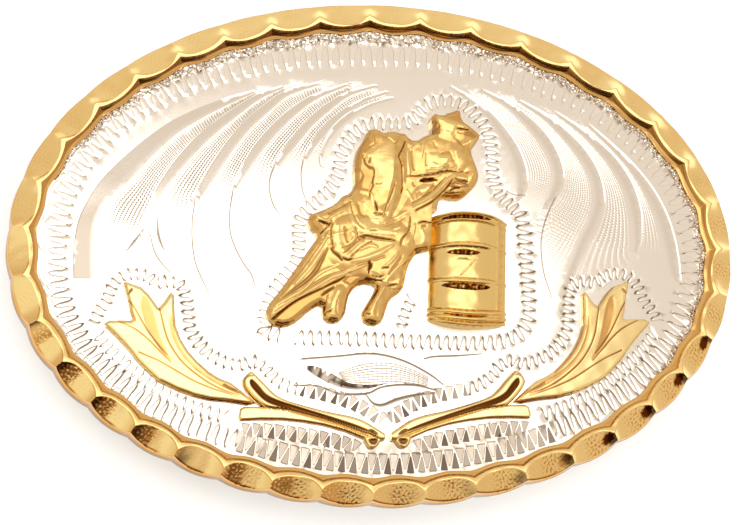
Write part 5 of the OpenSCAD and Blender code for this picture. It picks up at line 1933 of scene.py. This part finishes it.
    # Touches: tone, rise and the stroke as x, y, radius; their tones paint shade along the edges of the
    # leaves and the scroll
    touches = (
        (0.8, -0.08, ((-30.3, -5.15, 0.14), (-30.05, -4.8, 0.22), (-29.85, -4.6, 0.16))),
        (0.6, 0, ((-30.2, -3.6, 0.12), (-29.2, -3.95, 0.22), (-28.1, -4.9, 0.22), (-27.2, -6.1, 0.2),
         (-26.8, -6.7, 0.14))),
        (0.55, 0, ((-24.9, -5.2, 0.1), (-24.75, -8, 0.18), (-24.3, -10.4, 0.2), (-22.8, -12.9, 0.2),
         (-20.8, -14.9, 0.16))),
        (0.6, 0, ((-33.1, -8.55, 0.12), (-31.4, -8.15, 0.16), (-30, -8.15, 0.16), (-30.3, -6.4, 0.12))),
        (0.55, 0, ((-33, -9.1, 0.12), (-31.2, -11, 0.16), (-29.5, -13.3, 0.16), (-27, -15.7, 0.2),
         (-24, -17.1, 0.22))),
        (0.85, -0.05, ((-24, -17.2, 0.14), (-21, -17.85, 0.2), (-18, -18.2, 0.22), (-16.3, -18.4, 0.16))),
        (0.7, -0.1, ((-19.4, -16.1, 0.1), (-18.6, -16.6, 0.16), (-17.6, -17, 0.12))),
        (0.8, 0, ((-17.5, -19, 0.1), (-17, -18.75, 0.14), (-14.8, -18.75, 0.13), (-12, -19.15, 0.12))),
        (0.85, 0, ((-17.5, -20.3, 0.14), (-15, -20.2, 0.14), (-12.6, -20.25, 0.14), (-10, -20.55, 0.14),
         (-7.5, -21, 0.14), (-4.9, -21.75, 0.14), (-2.8, -22.6, 0.12))),
        (0.7, -0.06, ((-16.9, -16.3, 0.12), (-16.9, -15.5, 0.15), (-16.4, -15.1, 0.15),
         (-15.95, -15.1, 0.1))),
        (0.55, 0, ((-14.9, -15.6, 0.1), (-13.5, -17.1, 0.16), (-10, -18.7, 0.18), (-6, -19.6, 0.2),
         (-3.6, -20.1, 0.22), (-2.2, -20.9, 0.14))),
    )

    def build(self, finish: bpy.types.Material) -> bpy.types.Object:
        """Sculpts the spray.

        Args:
            finish: Its material.

        Returns:
            The object.
        """
        flip = -1 if self.side is Side.RIGHT else 1

        def place(rows: Rows) -> list[tuple[float, ...]]:
            """Mirrors a table onto this side."""
            return [(flip * row[0], *row[1:]) for row in rows]

        first, last = sorted(flip * end for end in self.across)
        form = Relief(self.oval, (first, self.up[0]), (last, self.up[1]), 0.1, lip=0.35)
        for outline, height, shoulder in (
            (self.ribbon, 0.85, 0.25),
            (self.leaves, 1.1, 0.45),
            (rounded(self.curl), 0.95, 0.3),
            (rounded(self.scroll), 1.2, 0.4),
        ):
            form.slab(place(outline), height, shoulder)
        for tone, rise, outline in self.strips:
            form.facet(tone, rise, place(rounded(outline)))
        for tone, rise, points in self.touches:
            form.touch(tone, rise, place(points))
        for points in self.veins:
            form.touch(0.95, -0.01, place(points))
        form.height += 0.004 * ripple(form.x, form.y, 2.0, 6)
        form.height = np.maximum(form.height, form.lip * 0.8)
        return form.solid(f"leaf_spray_{self.side.name.lower()}_cast", finish, 0.25)


# Studio


@dataclass(frozen=True)
class Studio:
    """A pale floor under an even pale light, with a large soft light overhead."""

    oval: Oval
    tilt_deg: float = 17.12
    turn_deg: float = -44.0
    roll_deg: float = -2.47
    distance: float = 420.0
    lens_mm: float = 169.2
    aim: tuple[float, float] = (-0.60, -1.24)
    # Direction of a white card low down at the left, seen only in the metal
    left_card: tuple[float, float, float] = (-0.70, -0.27, 0.66)
    # The softbox: its middle, its width and height, its turn, and its brightness as a share of white
    box_place: tuple[float, float, float] = (-115.0, 58.0, 600.0)
    box_size: tuple[float, float] = (640.0, 230.0)
    box_turn_deg: float = -6.0
    box_radiance: float = 1.32

    def camera(self) -> None:
        """Places the camera at the photograph's viewing angle."""
        tilt, turn, roll = (math.radians(a) for a in (self.tilt_deg, self.turn_deg, self.roll_deg))
        back = Vector((math.sin(tilt) * math.sin(turn), -math.sin(tilt) * math.cos(turn), math.cos(tilt)))
        right = Vector((0, 1, 0)).cross(back).normalized()
        up = back.cross(right)
        middle = Vector((0, 0, self.oval.top))
        eye = middle + back * self.distance
        level_right = right * math.cos(roll) + up * math.sin(roll)
        level_up = up * math.cos(roll) - right * math.sin(roll)
        target = middle + level_right * self.aim[0] + level_up * self.aim[1]
        back = (eye - target).normalized()
        level_right = level_up.cross(back).normalized()
        level_up = back.cross(level_right)
        data = bpy.data.cameras.new("camera")
        data.lens = self.lens_mm
        data.clip_start, data.clip_end = 0.01, 20.0
        made = bpy.data.objects.new("camera", data)
        turned = Matrix((level_right, level_up, back)).transposed().to_4x4()
        made.matrix_world = Matrix.Translation(eye * MM) @ turned
        bpy.context.scene.collection.objects.link(made)
        bpy.context.scene.camera = made

    def floor(self) -> None:
        """Makes the plain pale floor."""
        half = 6.0
        mesh = bpy.data.meshes.new("floor")
        corners = [(-half, -half, 0), (half, -half, 0), (half, half, 0), (-half, half, 0)]
        mesh.from_pydata(corners, [], [(0, 1, 2, 3)])
        paper = bpy.data.materials.new("matt_white_paper")
        paper.use_nodes = True
        shader = paper.node_tree.nodes["Principled BSDF"]
        shader.inputs["Base Color"].default_value = linear_rgb("#fbfaf8")
        shader.inputs["Roughness"].default_value = 0.9
        shader.inputs["Specular IOR Level"].default_value = 0.1
        mesh.materials.append(paper)
        made = bpy.data.objects.new("floor", mesh)
        bpy.context.scene.collection.objects.link(made)

    def light(self) -> None:
        """Lights the scene with a pale tent, dark low down at the front, and a white softbox above."""
        world = bpy.data.worlds.new("surround")
        bpy.context.scene.world = world
        world.use_nodes = True
        tree = world.node_tree
        background = tree.nodes["Background"]
        toward = add_node(tree, "ShaderNodeTexCoord").outputs["Generated"]
        height = add_node(tree, "ShaderNodeSeparateXYZ", inputs={"Vector": toward}).outputs["Y"]
        lean = add_node(
            tree, "ShaderNodeVectorMath", {"operation": "DOT_PRODUCT"}, {"0": toward, "1": self.left_card}
        ).outputs["Value"]
        tent = linear_rgb("#ebdbc8")
        for place, low, high, colour in (
            (height, -0.73, -0.81, "#4a3222"),
            (height, 0.7, 1.0, "#f8f0e4"),
            (lean, 0.86, 0.93, "#fffdf2"),
        ):
            span = {"Value": place, "From Min": low, "From Max": high}
            share = add_node(tree, "ShaderNodeMapRange", {"interpolation_type": "SMOOTHSTEP"}, span)
            mixed = {"0": share.outputs[0], "6": tent, "7": linear_rgb(colour)}
            tent = add_node(tree, "ShaderNodeMix", IN_COLOUR, mixed).outputs[2]
        glossy = add_node(tree, "ShaderNodeLightPath").outputs["Is Glossy Ray"]
        mixed = {"0": glossy, "6": linear_rgb("#f8f7f5"), "7": tent}
        seen = add_node(tree, "ShaderNodeMix", IN_COLOUR, mixed)
        tree.links.new(seen.outputs[2], background.inputs["Color"])
        span = {"Value": glossy, "To Min": 1.5, "To Max": 1.0}
        strength = add_node(tree, "ShaderNodeMapRange", inputs=span)
        tree.links.new(strength.outputs[0], background.inputs["Strength"])
        self.softbox()

    def softbox(self) -> None:
        """Hangs a rectangular soft light that faces straight down."""
        data = bpy.data.lights.new("overhead_softbox", "AREA")
        data.shape = "RECTANGLE"
        data.size, data.size_y = (size * MM for size in self.box_size)
        data.energy = self.box_radiance * math.pi * data.size * data.size_y
        made = bpy.data.objects.new("overhead_softbox", data)
        made.location = Vector(self.box_place) * MM
        made.rotation_euler = (0.0, 0.0, math.radians(self.box_turn_deg))
        made.visible_camera = False
        bpy.context.scene.collection.objects.link(made)


# A mirror-bright plate, almost white, whose cuts are painted with warm grey and brown shade
SILVER = PlatedMetal(
    "bright_silver_plate",
    "#fcfaf6",
    "#f6f3ee",
    "#bfb4a6",
    "#4a3e34",
    0.11,
    2.5,
    0.003,
    0.1,
    0.001,
    liner="#7d6c58",
)
# Warm yellow with small soft dents from the gouge, and red-brown painted shade in the hollows and on the
# walls, also in the hammered speckle
RIM_GOLD = PlatedMetal(
    "gold_plate_hand_struck", "#fbe0a0", "#f2d08a", "#dba860", "#5f2c0a", 0.2, 1.2, 0.01, 0.15, 0.005
)
# A little paler, with the soft lumps of a casting and painted brown shade in its creases
CAST_GOLD = PlatedMetal(
    "gold_plate_casting", "#f3d692", "#eecf88", "#d8ac66", "#663a12", 0.2, 1.2, 0.012, 0.12, 0.003
)
# The smoothest and lightest of the golds, for leaves with long clean highlights
LEAF_GOLD = PlatedMetal(
    "gold_plate_stamping", "#fbe6a8", "#f9e2a2", "#ddae6c", "#5e3410", 0.15, 2.0, 0.006, 0.12, 0.002
)
# Plain drawn wire behind the plate, duller than anything plated
BRASS = PlatedMetal(
    "drawn_brass_wire", "#d9bb78", "#c8a560", "#a98646", "#6b4a22", 0.32, 3.0, 0.01, 0.1, 0.006
)


def main() -> None:
    """Builds the buckle piece by piece, dresses it and sets it in the studio."""
    logging.basicConfig(level=logging.INFO, format="%(message)s")
    rim_low, rim_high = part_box("scalloped_rim")
    _, plate_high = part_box("field_plate")
    oval = Oval(
        half_len=(rim_high.x - rim_low.x) / 2 / MM,
        half_width=(rim_high.y - rim_low.y) / 2 / MM,
        top=plate_high.z / MM,
    )
    silver, rim_gold, cast_gold, leaf_gold, brass = (
        finish.material() for finish in (SILVER, RIM_GOLD, CAST_GOLD, LEAF_GOLD, BRASS)
    )
    barrel, rim = Barrel(oval), ScallopedRim(oval)
    pieces = [
        (FieldPlate(oval, rim).build(silver), "field_plate", "silver_plate"),
        (rim.build(rim_gold), "scalloped_rim", "gold_plate_rim"),
        (HorseAndRider(oval).build(cast_gold, barrel), "horse_and_rider", "gold_plate_cast"),
        (barrel.build(cast_gold), "barrel", "gold_plate_cast"),
        (LeafSpray(oval, Side.LEFT).build(leaf_gold), "leaf_spray_left", "gold_plate_leaf"),
        (LeafSpray(oval, Side.RIGHT).build(leaf_gold), "leaf_spray_right", "gold_plate_leaf"),
    ]
    for piece, node, slot in pieces:
        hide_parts(node)
        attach(piece, "root")
        log.info("%s: %d triangles, stands for %s", piece.name, len(piece.data.polygons), node)
    for node in ("belt_loop", "hook"):
        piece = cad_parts[node]
        piece.data.materials.clear()
        piece.data.materials.append(brass)
        log.info("%s: CAD node in drawn brass", node)
    studio = Studio(oval)
    studio.camera()
    studio.floor()
    studio.light()
    bpy.context.scene.view_settings.view_transform = "Standard"


if __name__ == "__main__":
    main()
